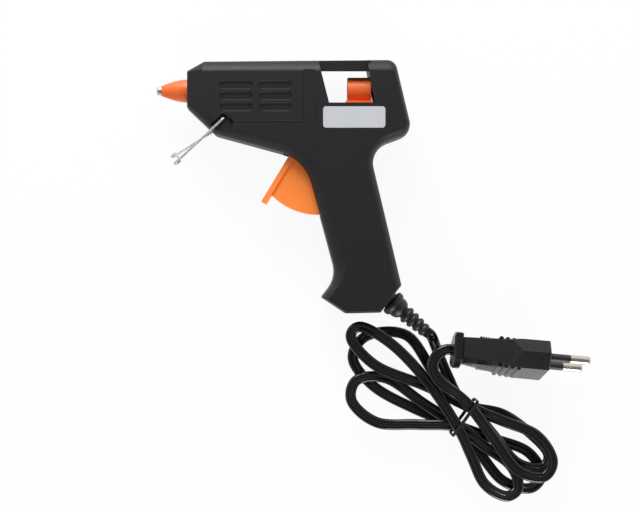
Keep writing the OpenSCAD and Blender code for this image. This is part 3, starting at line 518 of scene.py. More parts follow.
SCREWS, SEAT_Z = [(94.5, -18.8), (79.0, -38.0), (77.5, -96.0), (33.0, -19.0)], 6.0
WINDOW_X, WINDOW_END, SILL, FRONT_RAKE, REAR_RAKE = 66.6, 87.9, -6.8, 14.2, 11.2
WINDOW_TOP, BAR_TOP, BAR_HALF, BAR_LEAN = TOP_H - 4.5, 12.8, 8.5, 1.1
# A height within the face's wall, one just over the parting, and a small overlap
INSIDE, RIM, SPARE = THICK - WALL + 0.3, MID + 0.02, 0.05
FEEDER_R, WALL_PLAY, REAR_WALL = 6.25, 0.45, 1.5
STAND_AT, NEAR_ANGLE, FAR_ANGLE = np.array([18.4, -13.6]), 223, 212
WIRE_D, WIRE_Z, PIVOT_DEPTH, RECESS = 1.2, THICK - 1.1, 4.4, THICK - 2
PIN_BORE, PIN_POST, SCREW_BORE, SCREW_POST, HEAD_BORE = 1.55, 3.2, 1.45, 3, 2.65
SILL_X, NECK_SLOT_X, CHAMBER_RIBS, CHAMBER_RIB_Y = (58, 92), (65.73, 86.7), (12, 38), (-9, 10.4)
INLET_BOSS_R, INLET_BOSS_X = 6, (88.8, 99)
RECESS_FLOOR = [(9, -9.5), (24, -9.5), (31, -15.5), (31, -21.6), (15.4, -17.6), (9.0, -12.2)]


def raked(x, y, rake):
    """A point on one of the window's leaning edges, given the edge's place on the sill."""
    return (x - (y - SILL) * math.tan(math.radians(rake)), y)


def rear_wall():
    """The wall along the window's rear edge, open where the feeder stands back into it."""
    edges = [(WINDOW_END - SPARE, SILL - 2), (WINDOW_END - SPARE, BAR_TOP),
             (WINDOW_END + REAR_WALL, BAR_TOP), (WINDOW_END + REAR_WALL, SILL - 2)]
    wall = solid("rib", prism([raked(*edge, REAR_RAKE) for edge in edges], RIM, INSIDE), housing_abs)
    hole = turned([(x, FEEDER_R + WALL_PLAY) for x in (WINDOW_END - 12, WINDOW_END + REAR_WALL)], 64)
    return joined(wall, [solid("bore", hole, housing_abs, along_axis())], "DIFFERENCE")


def inside_parts():
    """Sill, bar, inlet's boss, chamber's ribs, screw posts, pin's boss and the recess's floor."""
    half_boss = [p for p in circle(INLET_BOSS_R, 48) if p[1] > -0.01]
    skins = [block(*SILL_X, SILL - 2, SILL + SPARE, RIM, INSIDE),
             block(*SILL_X, WINDOW_TOP - BAR_LEAN - SPARE, BAR_TOP, RIM, MID + BAR_HALF + 0.3),
             loft([[(x, -p[0], RIM + max(p[1], 0)) for p in half_boss] for x in INLET_BOSS_X]),
             *[block(x, x + 2, *CHAMBER_RIB_Y, RIM, INSIDE) for x in CHAMBER_RIBS],
             *[post(x, y, SCREW_POST, RIM, INSIDE) for x, y in SCREWS],
             post(*PIVOT, PIN_POST, MID + 6.2, INSIDE),
             prism(RECESS_FLOOR, RECESS - 3, INSIDE)]
    return [solid("rib", skin, housing_abs) for skin in skins] + [rear_wall()]


# %% What is cut out of them
RIM_FLARE, CLEAR = 0.4, 0.6
RELIEF_SHARE = 0.55
RELIEF_AXIS = along_axis(*(heel + RELIEF_SHARE * (heel_low - heel)), MID, RELIEF_ANGLE)


def pressed(corners, depth, flare=RIM_FLARE):
    """A cutter for a pocket in the left face: a small radius at its floor and a flare at its mouth."""
    floor = THICK - depth
    toe = min(depth * 0.3, 0.2)
    mouth = min(flare, depth * 0.5)
    steps = [(toe, floor), (0, floor + toe), (0, THICK - mouth), (-mouth, THICK),
             (-mouth - CLEAR, THICK + CLEAR)]
    return loft([ring_at(z, corners, 0, inset) for inset, z in steps])


def window_ring(high, z, wider=0.0):
    edges = [(WINDOW_X - wider, SILL - wider, FRONT_RAKE), (WINDOW_X - wider, high, FRONT_RAKE),
             (WINDOW_END + wider, high, REAR_RAKE), (WINDOW_END + wider, SILL - wider, REAR_RAKE)]
    return at_height([raked(*edge) for edge in edges], z)


def window(lean):
    """Two cutters: the opening under the leaning bar, and the wider one over the bar's face."""
    under = [window_ring(WINDOW_TOP + lean * up / BAR_HALF, MID + up) for up in (-1, BAR_HALF + 0.5)]
    over = [window_ring(TOP_H + 1, z, 0.02) for z in (MID + BAR_HALF, THICK + 1)]
    return [loft(under), loft(over)]


def stand_recess(leg_angle):
    """The sunk sector in which a leg of the stand swings, with the stand's rest at its left edge."""
    apex = STAND_AT + np.array([-0.5, 2.2])
    edge = STAND_AT + polar(WIRE_D / 2 + 0.3, 375)
    out, out_angle = 60, 285
    points = [(apex, 1.1), (STAND_AT + np.array([4.3, -1.4]), 0.9), (edge + polar(9, out_angle), 1.0),
              (edge + polar(out, out_angle), 0.5), (apex + polar(out, 250), 0.5),
              (apex + polar(out, leg_angle - 1), 0.5)]
    return pressed([(*p, r, 0) for p, r in points], THICK - RECESS, 0.35)


def nose_taper():
    """A wedge that slopes the nose's face towards the nozzle."""
    before = NOSE_FACE - 4
    drop = 3 * (BROW_X - before) / (BROW_X - NOSE_FACE)
    outline = [(BROW_X, THICK), (before, THICK - drop), (before, THICK + 4), (BROW_X, THICK + 4)]
    return loft([[(x, y, z) for x, z in outline] for y in (-60, 60)])


def cutters(leg_angle, lean):
    """Window, slots for neck and trigger, holes for pin and wire, panel, recess, nose and bores."""
    far = THICK + 1
    panel = [(54.7, 8.5, 1.6, 0), (60.2, 8.5, 1.6, 0), (60.2, -60, 1, 0), (21.5, -60, 1, 0),
             (21.5, -15, 1, 0), (54.7, -15, 0.8, 0)]
    slot = [(45.3, -22), (45.3, -40), (58, -58.6), (72, -58.6), (62, -44), (57, -33), (52, -27.5)]
    skins = [*window(lean),
             block(*NECK_SLOT_X, SILL - 3, SILL + 1, MID - 1, MID + 2.3),
             prism(slot, MID - 1, MID + 6.4),
             post(*PIVOT, PIN_BORE, MID - 0.5, THICK - WALL),
             post(*STAND_AT, WIRE_D / 2 + SPARE, WIRE_Z - PIVOT_DEPTH - SPARE, far),
             post(*STAND_AT, WIRE_D / 2 + 0.6, RECESS - 1, far),
             pressed(panel, 0.4, 0.25), stand_recess(leg_angle), nose_taper()]
    made = [solid("cutter", skin, housing_abs) for skin in skins]
    # Inlet, sleeve's collar, chamber and boot: from x to x, radius and axis
    bores = [(86, 120, 4.1, along_axis()), (-3.3, 5.2, 5.45, along_axis()), (4.2, 41.2, 7.05, along_axis()),
             (-10, 10, 4.25, RELIEF_AXIS)]
    return made + [solid("bore", turned(((x0, r), (x1, r))), housing_abs, at) for x0, x1, r, at in bores]


# %% [markdown]
# ## Vents
#
# Six shallow vents repeat in two columns and three rows, so a Geometry Nodes tree sets one vent's
# cutter on a grid of points. Change the counts or the pitch and the whole field follows.


# %% A grid of one shape
def tree_with(name, sizes):
    """A tree with a named input for each size, and the sockets that bring them in."""
    tree = bpy.data.node_groups.new(name, "GeometryNodeTree")
    tree.interface.new_socket("Shape", in_out="INPUT", socket_type="NodeSocketGeometry")
    for label, kind in sizes.items():
        tree.interface.new_socket(label, in_out="INPUT", socket_type="NodeSocket" + kind)
    tree.interface.new_socket("Shape", in_out="OUTPUT", socket_type="NodeSocketGeometry")
    return tree, add(tree, "NodeGroupInput").outputs


def end_tree(tree, points, shape, material, **more):
    """The shape on every point, made real, with its finish, at the tree's output."""
    copies = add(tree, "GeometryNodeInstanceOnPoints", {"Points": points, "Instance": shape, **more})
    real = add(tree, "GeometryNodeRealizeInstances", {"Geometry": copies.outputs[0]})
    finish = add(tree, "GeometryNodeSetMaterial", {"Geometry": real.outputs[0], "Material": material})
    add(tree, "NodeGroupOutput", {"Shape": finish.outputs[0]})


def grow(piece, tree, sizes):
    """Runs the tree on the piece, with its inputs set by identifier, and keeps the plain mesh."""
    modifier = piece.modifiers.new(tree.name, "NODES")
    modifier.node_group = tree
    for item in tree.interface.items_tree:
        if item.in_out == "INPUT" and item.name in sizes:
            modifier[item.identifier] = sizes[item.name]
    return plain_mesh(piece)


vent_field, given = tree_with("vent_field", {"Columns": "Int", "Rows": "Int", "Column pitch": "Float",
                                             "Row pitch": "Float", "Finish": "Material"})
grid = {"Vertices X": given["Columns"], "Vertices Y": given["Rows"]}
for axis, count, pitch in (("X", "Columns", "Column pitch"), ("Y", "Rows", "Row pitch")):
    spaces = worked(vent_field, "SUBTRACT", given[count], 1.0)
    grid["Size " + axis] = worked(vent_field, "MULTIPLY", spaces, given[pitch])
vent_points = add(vent_field, "GeometryNodeMeshGrid", grid).outputs["Mesh"]
end_tree(vent_field, vent_points, given["Shape"], given["Finish"])

VENT_LEN, VENT_W, VENT_DEPTH = 14.6, 3.4, 0.8
VENT_COLUMN_PITCH, VENT_ROW_PITCH, VENT_CENTRE = 18.1, 5.025, (33.0, -3.75)


def vent_cutters():
    half, r = VENT_LEN / 2, VENT_W / 2
    corners = [(x, y, r - 0.02, 0) for x, y in ((-half, r), (half, r), (half, -r), (-half, -r))]
    vents = solid("vents", pressed(corners, VENT_DEPTH), housing_abs, PART)
    grow(vents, vent_field, {"Columns": 2, "Rows": 3, "Column pitch": VENT_COLUMN_PITCH * MM,
                             "Row pitch": VENT_ROW_PITCH * MM, "Finish": housing_abs})
    return moved(vents, NOSE @ Matrix.Translation((*VENT_CENTRE, 0)))


print("vent tree nodes:", len(vent_field.nodes))

# %% Both halves
# The plate's left and low edges, its length and its height
LABEL = (63.8, -18.4, 28.6, 9.9)
LABEL_R, LABEL_DEPTH = 1.4, 0.25


def label_corners(grow_by):
    x0, y0 = LABEL[0] - grow_by, LABEL[1] - grow_by
    x1, y1 = LABEL[0] + LABEL[2] + grow_by, LABEL[1] + LABEL[3] + grow_by
    return [(x, y, LABEL_R, 0) for x, y in ((x0, y1), (x1, y1), (x1, y0), (x0, y0))]


def half_shell(name, leg_angle, lean, more_cuts):
    """One half, drawn as the left one with its face up."""
    half = joined(tray(name), inside_parts(), "UNION")
    more = [solid("cutter", skin, housing_abs) for skin in more_cuts]
    return joined(half, cutters(leg_angle, lean) + [vent_cutters()] + more, "DIFFERENCE")


def tidy_shading(piece, angle=28):
    """Smooth shading with normals weighted by face size, so that large flats stay flat."""
    smooth(piece, angle)
    weigh = piece.modifiers.new("weighted", "WEIGHTED_NORMAL")
    weigh.keep_sharp = True
    return plain_mesh(piece)


label_pocket = loft([ring_at(z, label_corners(0.05)) for z in (THICK - LABEL_DEPTH, THICK + 1)])
left_cuts = [post(x, y, SCREW_BORE, MID - 1, MID + 10) for x, y in SCREWS] + [label_pocket]
left_half = half_shell("housing_left", NEAR_ANGLE, -BAR_LEAN, left_cuts)
settled(tidy_shading(left_half), "housing", "housing", "left_shell")

right_cuts = [post(x, y, SCREW_BORE, MID - 1, THICK + 1) for x, y in SCREWS]
right_cuts += [post(x, y, HEAD_BORE, THICK - SEAT_Z, THICK + 1) for x, y in SCREWS]
right_half = half_shell("housing_right", FAR_ANGLE, BAR_LEAN, right_cuts)
moved(right_half, Matrix.Translation((0, 0, THICK)) @ Matrix.Scale(-1, 4, (0, 0, 1)))
right_half.data.flip_normals()
settled(tidy_shading(right_half), "housing", "housing", "right_shell")

# %% [markdown]
# ## The plate on the side
#
# A thin silver plate sits in a pocket under the window, left bare. A film this thin still has an edge,
# so it is a real plate with a small rounding and not a coloured patch.

# %% Bare silver plate
# Silver polyester film: an even satin grey with a faint grain, never mirror-bright.
plate_film = grained("satin_silver_film", "#caccd1", "#c0c2c7", (0.36, 0.5), 0.9, 0.004, 9, Metallic=0.15)
# Each ring of the plate: how far in from its edge, and how deep under the face
PLATE_RINGS = [(0.12, LABEL_DEPTH), (0, 0.17), (0, 0.13), (0.08, 0.05)]
plate_skin = loft([ring_at(THICK - depth, label_corners(0), 0, inset) for inset, depth in PLATE_RINGS])
plate = solid("side_plate", plate_skin, plate_film)
settled(smooth(plate), "housing", "label", "label_plate")

# %% [markdown]
# ## Nozzle and sleeve
#
# The tip is turned metal, and the sleeve that keeps fingers off it is heat-proof moulding. Both are
# round, so each is one profile turned about the barrel's axis. The sleeve's curve is a quarter of a sine.

# %% Orange moulding
# Glass-filled nylon, moulded: warm orange with a soft satin skin, a little darker in broad clouds.
orange_nylon = grained("moulded_orange_nylon", "#ef6c30", "#e7652b", (0.36, 0.48), 0.8, 0.006, 22,
                       Specular_IOR_Level=0.4)
# The same nylon painted lighter for the trigger: painted light, standing in for the brighter light that
# falls on its web.
trigger_nylon_painted_lit = grained("moulded_light_orange_nylon", "#ff8e3e", "#ff8739", (0.36, 0.48), 0.8, 0.006, 22,
                      Specular_IOR_Level=0.4)
SLEEVE_D, SLEEVE_OUT, SLEEVE_TIP_R, TIP_OUT = 10.8, 12.3, 2.4, 2.3
SHANK_R, NOZZLE_R, STEP_X, SEAT_X = 1.8, 3.0, -4.0, 5.0
FIT, OGIVE_RISE = 0.05, SLEEVE_D / 2 - SLEEVE_TIP_R
sleeve_start = NOSE_FACE - SLEEVE_OUT
ogive = [(sleeve_start + SLEEVE_OUT * t, SLEEVE_TIP_R + OGIVE_RISE * math.sin(math.pi / 2 * t))
         for t in np.linspace(0, 1, 25)]
sleeve_profile = [(sleeve_start, SHANK_R + FIT), (sleeve_start, SLEEVE_TIP_R - 0.25),
                  (sleeve_start + 0.08, SLEEVE_TIP_R), *ogive[1:], (2.9, SLEEVE_D / 2), (2.9, 6.5),
                  (SEAT_X, 6.5), (SEAT_X, NOZZLE_R + FIT), (STEP_X - FIT, NOZZLE_R + FIT),
                  (STEP_X - FIT, SHANK_R + FIT)]
sleeve = solid("nozzle_sleeve_cap", turned(sleeve_profile, 64, True), orange_nylon, along_axis())
settled(smooth(sleeve), "housing", "orange", "nozzle_sleeve")

# %% Turned tip
# Free-cutting brass, nickel-plated and turned: bright, with a fine grain.
tip_metal = grained("turned_nickel_tip", "#d9d8d6", "#c9c8c6", (0.2, 0.34), 0.6, 0.006, 4, Metallic=1.0)
tip_x = sleeve_start - TIP_OUT
tip_front = [(0.25, 0.8), (0, 1.05), (0, 1.35), (0.12, 1.65), (0.4, 1.95), (0.8, 2.15), (1.2, 2.2),
             (1.28, 1.95), (1.42, 1.95), (1.5, 2.2), (TIP_OUT - 2 * FIT, 2.2), (TIP_OUT - FIT, 2.1),
             (TIP_OUT - FIT, SHANK_R)]
tip_profile = [(tip_x + x, r) for x, r in tip_front]
tip_profile += [(STEP_X, SHANK_R), (STEP_X, NOZZLE_R), (5.2, NOZZLE_R), (5.2, 2.45), (9.2, 2.45), (9.2, 0.8)]
tip = solid("nozzle_tip_metal", turned(tip_profile, 48, True), tip_metal, along_axis())
settled(smooth(tip), "housing", "nozzle", "nozzle_tip")

# %% [markdown]
# ## Trigger
#
# The trigger is one moulding: a flat finger plate, a round web behind it that hides the inside when
# it is pulled, a hub on the pin and a fork to the feeder. Simple blocks are joined, and then all
# their edges are rounded together, as the mould does.

# %% Trigger moulding
PLATE_ANGLE, PLATE_OFF, PLATE_T, PLATE_W = 238.7, 9.8, 2.4, 12.0
PLATE_FROM, PLATE_TO, WEB_R, WEB_END = 3.0, 34.9, 30.7, 280.0
LINK_H, HALF_TURN, FORK_T, FORK_W = 14.5, 17.0, 2.7, 7.0
WEB_W, WEB_LAP, HUB_R, PLATE_IN = PLATE_W - 2, 0.6, 4.2, PLATE_OFF - PLATE_T


def on_plate(s, off):
    return np.array(PIVOT) + polar(off, PLATE_ANGLE - 90) + polar(s, PLATE_ANGLE)


def upright(outline, half_width):
    return prism(outline, MID - half_width, MID + half_width)


web_start = PLATE_ANGLE - 90 + math.degrees(math.acos(PLATE_IN / WEB_R))
web_arc = [np.array(PIVOT) + polar(WEB_R, a) for a in np.linspace(web_start, WEB_END, 33)]
finger_plate = [on_plate(PLATE_FROM, PLATE_OFF), on_plate(PLATE_TO, PLATE_OFF), on_plate(PLATE_TO, PLATE_IN),
                on_plate(PLATE_FROM, PLATE_IN)]
# The trigger takes the lighter orange, which is painted light for the light falling on it, not a colour of
# its own.
trigger = solid("trigger_moulding", upright(finger_plate, PLATE_W / 2), trigger_nylon_painted_lit)
lap = polar(WEB_LAP, PLATE_ANGLE - 90)
web = [np.array(PIVOT), finger_plate[-1] + lap, web_arc[0] + lap, *web_arc[1:]]
trigger_parts = [upright(web, WEB_W / 2), upright(circle(HUB_R, 48) + PIVOT, PLATE_W / 2)]
arm = Matrix.Rotation(math.radians(90 - HALF_TURN), 2)
ARM_END = LINK_H / math.cos(math.radians(HALF_TURN)) + 1.9
SLOT_FROM, SLOT_HALF = LINK_H - 1.5, 1.25
prong = [(0, FORK_W / 2), (ARM_END, FORK_W / 2), (ARM_END, SLOT_HALF), (SLOT_FROM, SLOT_HALF)]
fork = [(x, -y) for x, y in prong] + prong[::-1]
fork_line = [np.array(arm @ Vector(p)) + PIVOT for p in fork]
for z in (MID - WEB_W / 2, MID + WEB_W / 2 - FORK_T):
    trigger_parts.append(prism(fork_line, z, z + FORK_T))
joined(trigger, [solid("part", skin, trigger_nylon_painted_lit) for skin in trigger_parts], "UNION")
joined(trigger, [solid("bore", post(*PIVOT, PIN_BORE, 0, THICK, 48), trigger_nylon_painted_lit)], "DIFFERENCE")
rounded(trigger, 0.35, 2)
settled(tidy_shading(trigger), "trigger", "orange", "trigger")

# %% [markdown]
# ## Feeder
#
# The orange tube in the window grips the glue stick and slides forward with the trigger. It runs on
# a flange that lies on the window's sill, and a tongue under the sill reaches the trigger's fork.

# %% Feeder moulding
FEEDER_X, FEEDER_LEN, FEEDER_BORE, FEEDER_MOUTH, LINK_BORE = 75.1, 11.1, 3.9, 4.95, 1.25
feeder_end = FEEDER_X + FEEDER_LEN
link = (PIVOT[0] + LINK_H * math.tan(math.radians(HALF_TURN)), PIVOT[1] + LINK_H)
# The tube's rounded edge: how far in from its end, and how far in from its outside
TUBE_EDGE = [(0, 0.4), (0.12, 0.12), (0.4, 0)]
tube_profile = [(FEEDER_X, FEEDER_BORE + 0.3), *[(FEEDER_X + x, FEEDER_R - r) for x, r in TUBE_EDGE],
                *[(feeder_end - x, FEEDER_R - r) for x, r in TUBE_EDGE[::-1]],
                (feeder_end, FEEDER_MOUTH), (feeder_end - 0.55, FEEDER_MOUTH),
                (feeder_end - 0.55, FEEDER_BORE), (FEEDER_X + 0.3, FEEDER_BORE)]
feeder = solid("feeder_moulding", turned(tube_profile, 64, True), orange_nylon, along_axis())
# Each block: from x to x, from y to y, and half its width
FEEDER_BLOCKS = {"flange": (FEEDER_X - 0.9, feeder_end + 0.9, SILL + 0.1, SILL + 1.5, 8),
                 "neck": (FEEDER_X + 0.02, feeder_end - 0.02, link[1], -4.6, 2),
                 "under": (FEEDER_X + 0.02, feeder_end - 0.02, -10.6, -9.0, 5),
                 "tongue": (link[0] - 2, feeder_end - 0.01, link[1] - 2, link[1] + 2, 1.98)}
feeder_parts = [solid(name, block(*sides, MID - half, MID + half), orange_nylon)
                for name, (*sides, half) in FEEDER_BLOCKS.items()]
for part in (feeder_parts[0], feeder_parts[-1]):
    rounded(part, 0.3, 2)
joined(feeder, feeder_parts, "UNION")
joined(feeder, [solid("bore", post(*link, LINK_BORE, 0, THICK), orange_nylon)], "DIFFERENCE")
settled(tidy_shading(feeder), "feeder", "orange", "feeder")

# %% [markdown]
# ## Wire stand
#
# The stand is one bright wire: two legs from holes under the nose, and a foot with a step in it.
# The bends are short curves, and a round section is carried along without twisting.

# %% Bright wire
# Drawn steel wire, zinc-plated: bright grey in soft clouds.
stand_zinc = grained("bright_zinc_wire", "#c9ccce", "#babdc1", (0.3, 0.42), 3, 0.002, 5, Metallic=0.9)
STAND_LEN, FOOT_STEP, FOOT_IN, BEND_R = 31.0, 2.5, 5.0, 1.5
LOW_Z, STEP_IN = THICK - WIRE_Z, 1.6 * FOOT_IN


def bent(points, r, steps=8):
    """A path with its corners eased by short curves."""
    made = [points[0]]
    for i in range(1, len(points) - 1):
        a = points[i] + r * unit(points[i - 1] - points[i])
        b = points[i] + r * unit(points[i + 1] - points[i])
        made += [(1 - t) ** 2 * a + 2 * t * (1 - t) * points[i] + t * t * b
                 for t in np.linspace(0, 1, steps + 1)]
    return np.array(made + [points[-1]])


def carried(path, first):
    """Normals carried along a path without twist."""
    made = []
    last = np.array(first, float)
    for t in tangents(path):
        last = unit(last - t * (last @ t))
        made.append(last)
    return np.array(made)


def leg(angle, less=0.0):
    return STAND_AT + polar(STAND_LEN - less, angle)


wire_corners = [(STAND_AT, WIRE_Z - PIVOT_DEPTH), (STAND_AT, WIRE_Z), (leg(NEAR_ANGLE), WIRE_Z),
                (leg(NEAR_ANGLE), WIRE_Z - FOOT_IN), (leg(NEAR_ANGLE, FOOT_STEP), WIRE_Z - STEP_IN),
                (leg(FAR_ANGLE, FOOT_STEP), LOW_Z + STEP_IN), (leg(FAR_ANGLE), LOW_Z + FOOT_IN),
                (leg(FAR_ANGLE), LOW_Z), (STAND_AT, LOW_Z), (STAND_AT, LOW_Z + PIVOT_DEPTH)]
wire_path = bent([np.append(at, z) for at, z in wire_corners], BEND_R)
wire_rings = sweep(wire_path, circle(WIRE_D / 2 - 0.02, 16), carried(wire_path, (1, 0, 0)))
stand = solid("stand_wire", loft(wire_rings), stand_zinc)
settled(smooth(stand, 40), "stand", "bright_wire", "wire_stand")

# %% [markdown]
# ## Screws
#
# Four self-tapping screws hold the halves together, driven in from the far side. They are all alike,
# so one screw with a cross in its head is set on four points by a Geometry Nodes tree.

# %% Screws on points
# Steel screws, zinc-plated: grey and slightly dull, as small cheap screws are.
screw_steel = grained("zinc_plated_screws", "#b9bcc1", "#a3a7ad", (0.28, 0.42), 0.5, 0.004, 3, Metallic=1.0)
HEAD_R, HEAD_T, SCREW_R, REACH = 2.6, 1.8, 1.4, 8.0
HEAD_Z = SEAT_Z - HEAD_T
screw_profile = [(HEAD_Z, 0), (HEAD_Z, HEAD_R - 0.7), (HEAD_Z + 0.35, HEAD_R - 0.15), (HEAD_Z + 0.8, HEAD_R),
                 (SEAT_Z, HEAD_R), (SEAT_Z, SCREW_R), (MID + REACH - 1, SCREW_R), (MID + REACH, 0)]
upend = Matrix.Rotation(math.radians(-90), 4, "Y")
screw = solid("screw", turned(screw_profile, 32), screw_steel, upend)
cross = [solid("cross", block(-a, a, -b, b, HEAD_Z - 1, HEAD_Z + 0.9), screw_steel, PART)
         for a, b in ((1.5, 0.28), (0.28, 1.5))]
joined(screw, cross, "DIFFERENCE")

screw_set, given = tree_with("screw_set", {"Screw": "Object", "Finish": "Material"})
one_screw = add(screw_set, "GeometryNodeObjectInfo", {"Object": given["Screw"]})
end_tree(screw_set, given["Shape"], one_screw.outputs["Geometry"], given["Finish"])
screws = solid("housing_screw_set", ([(x, y, 0) for x, y in SCREWS], []), screw_steel)
grow(screws, screw_set, {"Screw": screw, "Finish": screw_steel})
bpy.data.meshes.remove(screw.data)
settled(smooth(screws), "housing", "steel", "housing_screws")

# %% [markdown]
# ## Boot where the lead leaves
#
# The boot keeps the lead from bending sharply at the heel: a collar, a cone and ribs that get
# smaller towards the end. The ribs are one ring on a row of points, with each copy a little smaller,
# so count, pitch and taper stay open to change.

# %% Soft PVC
# Flexible PVC, moulded on the lead: black, between matt and gloss.
boot_pvc = grained("moulded_soft_pvc", "#131315", "#19191b", (0.36, 0.5), 1.0, 0.012, 8)

rib_row, given = tree_with("rib_row", {"Count": "Int", "Pitch": "Float", "Taper": "Float",
                                       "Finish": "Material"})
rib_step = add(rib_row, "ShaderNodeCombineXYZ", {"X": given["Pitch"]}).outputs["Vector"]
rib_points = add(rib_row, "GeometryNodeMeshLine", {"Count": given["Count"], "Offset": rib_step}).outputs[0]
rib_index = add(rib_row, "GeometryNodeInputIndex").outputs["Index"]
rib_scale = worked(rib_row, "SUBTRACT", 1.0, worked(rib_row, "MULTIPLY", rib_index, given["Taper"]))
rib_size = add(rib_row, "ShaderNodeCombineXYZ", {"X": 1.0, "Y": rib_scale, "Z": rib_scale}).outputs["Vector"]
end_tree(rib_row, rib_points, given["Shape"], given["Finish"], Scale=rib_size)

# %% Boot
RELIEF_LEN, CONE_END, BOOT_RIBS = 22.0, 8.4, 4
RIB_PITCH = (RELIEF_LEN - CONE_END) / BOOT_RIBS
boot_profile = [(-4.5, 0), (-4.5, 5.2), (-2.5, 5.4), (-2.5, 4.2), (0.8, 4.2), (0.8, 5.1), (1.0, 5.6),
                (1.5, 5.9), (2.4, 5.98), (3.3, 5.85), (4.0, 5.4), (4.35, 4.9), (4.7, 4.85), (5.4, 5.0),
                (6.4, 4.75), (7.5, 4.3), (8.2, 3.6), (8.6, 3.0), (RELIEF_LEN - 0.4, 2.3), (RELIEF_LEN, 2.0),
                (RELIEF_LEN, 0)]
boot = solid("lead_boot", turned(boot_profile, 48), boot_pvc, RELIEF_AXIS)
RIB_R, RIB_AT, RIB_BORE, RIB_TAPER = 1.45, 2.7, 1.5, 0.075
rib_round = [(RIB_R * math.cos(a), RIB_AT + RIB_R * math.sin(a)) for a in np.linspace(0, math.pi, 13)]
rib_line = [(-RIB_R, RIB_BORE), *reversed(rib_round), (RIB_R, RIB_BORE)]
rib = solid("boot_rib", turned(rib_line, 40, True), boot_pvc, PART)
grow(rib, rib_row, {"Count": BOOT_RIBS, "Pitch": RIB_PITCH * MM, "Taper": RIB_TAPER, "Finish": boot_pvc})
moved(rib, RELIEF_AXIS @ Matrix.Translation((CONE_END + 0.7 * RIB_PITCH, 0, 0)))
joined(boot, [rib], "UNION")
settled(tidy_shading(boot, 40), "housing", "relief", "strain_relief")

# %% [markdown]
# ## Tie round the hank
#
# A strip of plastic-covered wire goes once round the waist of the hank. It is a flattened section
# swept along a rounded loop that stands across the hank.

# %% Tie
# Plastic-covered tying wire: black and half-matt, with a soft edge.
tie_plastic = grained("tying_wire_plastic", "#111113", "#18181a", (0.5, 0.62), 0.9, 0.01, 6,
                      Specular_IOR_Level=0.3)
TIE_W, TIE_T, TIE_HALF, TIE_GAP = 1.6, 1.0, 9.9, 0.5
TIE_LOW = FLOOR_GAP + TIE_T / 2
TIE_TOP = layer_z(len(LOOPS)) + TIE_LIFT + CORD_T / 2 + TIE_GAP + TIE_T / 2
tie_corners = [(-TIE_HALF, TIE_TOP, 2.5, 0), (TIE_HALF, TIE_TOP, 2.5, 0), (TIE_HALF, TIE_LOW, 2, 0),
               (-TIE_HALF, TIE_LOW, 2, 0)]
tie_line = corner_arcs(tie_corners, 12)
across = np.append(polar(1, HANK_ANGLE + 90), 0)
along = np.append(polar(1, HANK_ANGLE), 0)
tie_rings = []
for k, (u, z) in enumerate(tie_line):
    way = unit(tie_line[(k + 1) % len(tie_line)] - tie_line[k - 1])
    out = across * -way[1] + up * way[0]
    centre = np.append(HANK_AT, 0) + across * u + up * z
    tie_rings.append([centre + out * a * TIE_T / 2 + along * b * TIE_W / 2 for a, b in circle(1, 12)])
tie = solid("hank_tie", loft(tie_rings, True), tie_plastic, PART)
settled(smooth(tie, 60), "housing", "tie", "cord_tie")

# %% [markdown]
# ## Plug
#
# The flat plug stands on its narrow edge, leaning back a little. Its front is a roof-shaped block, and
# the grip behind it is cut down in a slope, which leaves the arrow that shows where block and grip
# meet. Sections along its length give that shape exactly, and two rows of ribs cross each wide face.

# %% Plug body
# PVC, moulded in one shot round the pins: near black and satin.
plug_pvc = grained("moulded_plug_pvc", "#0c0c0e", "#101012", (0.26, 0.36), 0.7, 0.006, 12,
                   Specular_IOR_Level=0.36)
PLUG = (Matrix.Translation((*PLUG_FRONT, PLUG_Z)) @ Matrix.Rotation(math.radians(PLUG_YAW), 4, "Z")
        @ Matrix.Rotation(math.radians(PLUG_TILT), 4, "X"))
GRIP_FROM, GRIP_TO = -39.6, -16.0


def bow(x):
    """How far the grip's middle stands off the pins' plane at x."""
    return PLUG_BOW * min(1, max(0, (x - GRIP_TO) / (GRIP_FROM - GRIP_TO)))


def plug_section(x, thick, shoulder, ridge, top):
    """One section: half height of the flats, height of the ridge and half width of its top."""
    quarter = [(top, ridge), (thick / 2, shoulder), (thick / 2, -shoulder), (top, -ridge)]
    return [(x, bow(x) + y, z) for y, z in quarter] + [(x, bow(x) - y, z) for y, z in reversed(quarter)]


PLUG_SECTIONS = [(-43.6, 12.6, 2.4, 9.2, 4.6), (-43.2, 15.0, 2.8, 9.7, 5.6), (-42.8, 16.0, 3.0, 10, 6.2),
                 (-39.9, 16.2, 3.0, 10, 6.2), (-39.6, 15.4, 2.9, 9.7, 5.9), (-39.59, 12.4, 1.5, 8.5, 4.6),
                 (-28, 12.5, 6.9, 10.9, 5.2), (-17.2, 13.0, 12.0, 13.2, 5.8), (-12.8, 13.6, 12.9, 17.1, 0.3),
                 (-0.5, 13.7, 13.05, 17.5, 0.3), (0, 12.9, 12.6, 17.0, 0.3)]
plug = solid("plug_moulding", loft([plug_section(*sizes) for sizes in PLUG_SECTIONS]), plug_pvc, PLUG)
# Each row of ribs: count, pitch, first rib's place, radius and half length
RIB_ROWS, RIB_OFF = [(4, 2.9, -22.3, 1.15, 11.0), (7, 1.15, -31.2, 0.5, 7.0)], 6.25
rib_turn = Matrix.Rotation(math.atan(PLUG_BOW / (GRIP_FROM - GRIP_TO)), 4, "Z")
plug_rib_pieces = []
for count, pitch, start, r, half in RIB_ROWS:
    blunt_end = [(half, 0.6), (half - 0.3, 0.9), (half - 0.8, 1)]
    stations = [(-z, share) for z, share in blunt_end] + blunt_end[::-1]
    bar = loft([at_height(circle(r * share, 14), z) for z, share in stations])
    for side in (-1, 1):
        ribs = solid("plug_ribs", bar, plug_pvc, PART)
        grow(ribs, rib_row, {"Count": count, "Pitch": pitch * MM, "Taper": 0.0, "Finish": plug_pvc})
        on_face = Matrix.Translation((start, side * RIB_OFF + bow(start), 0))
        plug_rib_pieces.append(moved(ribs, PLUG @ on_face @ rib_turn))
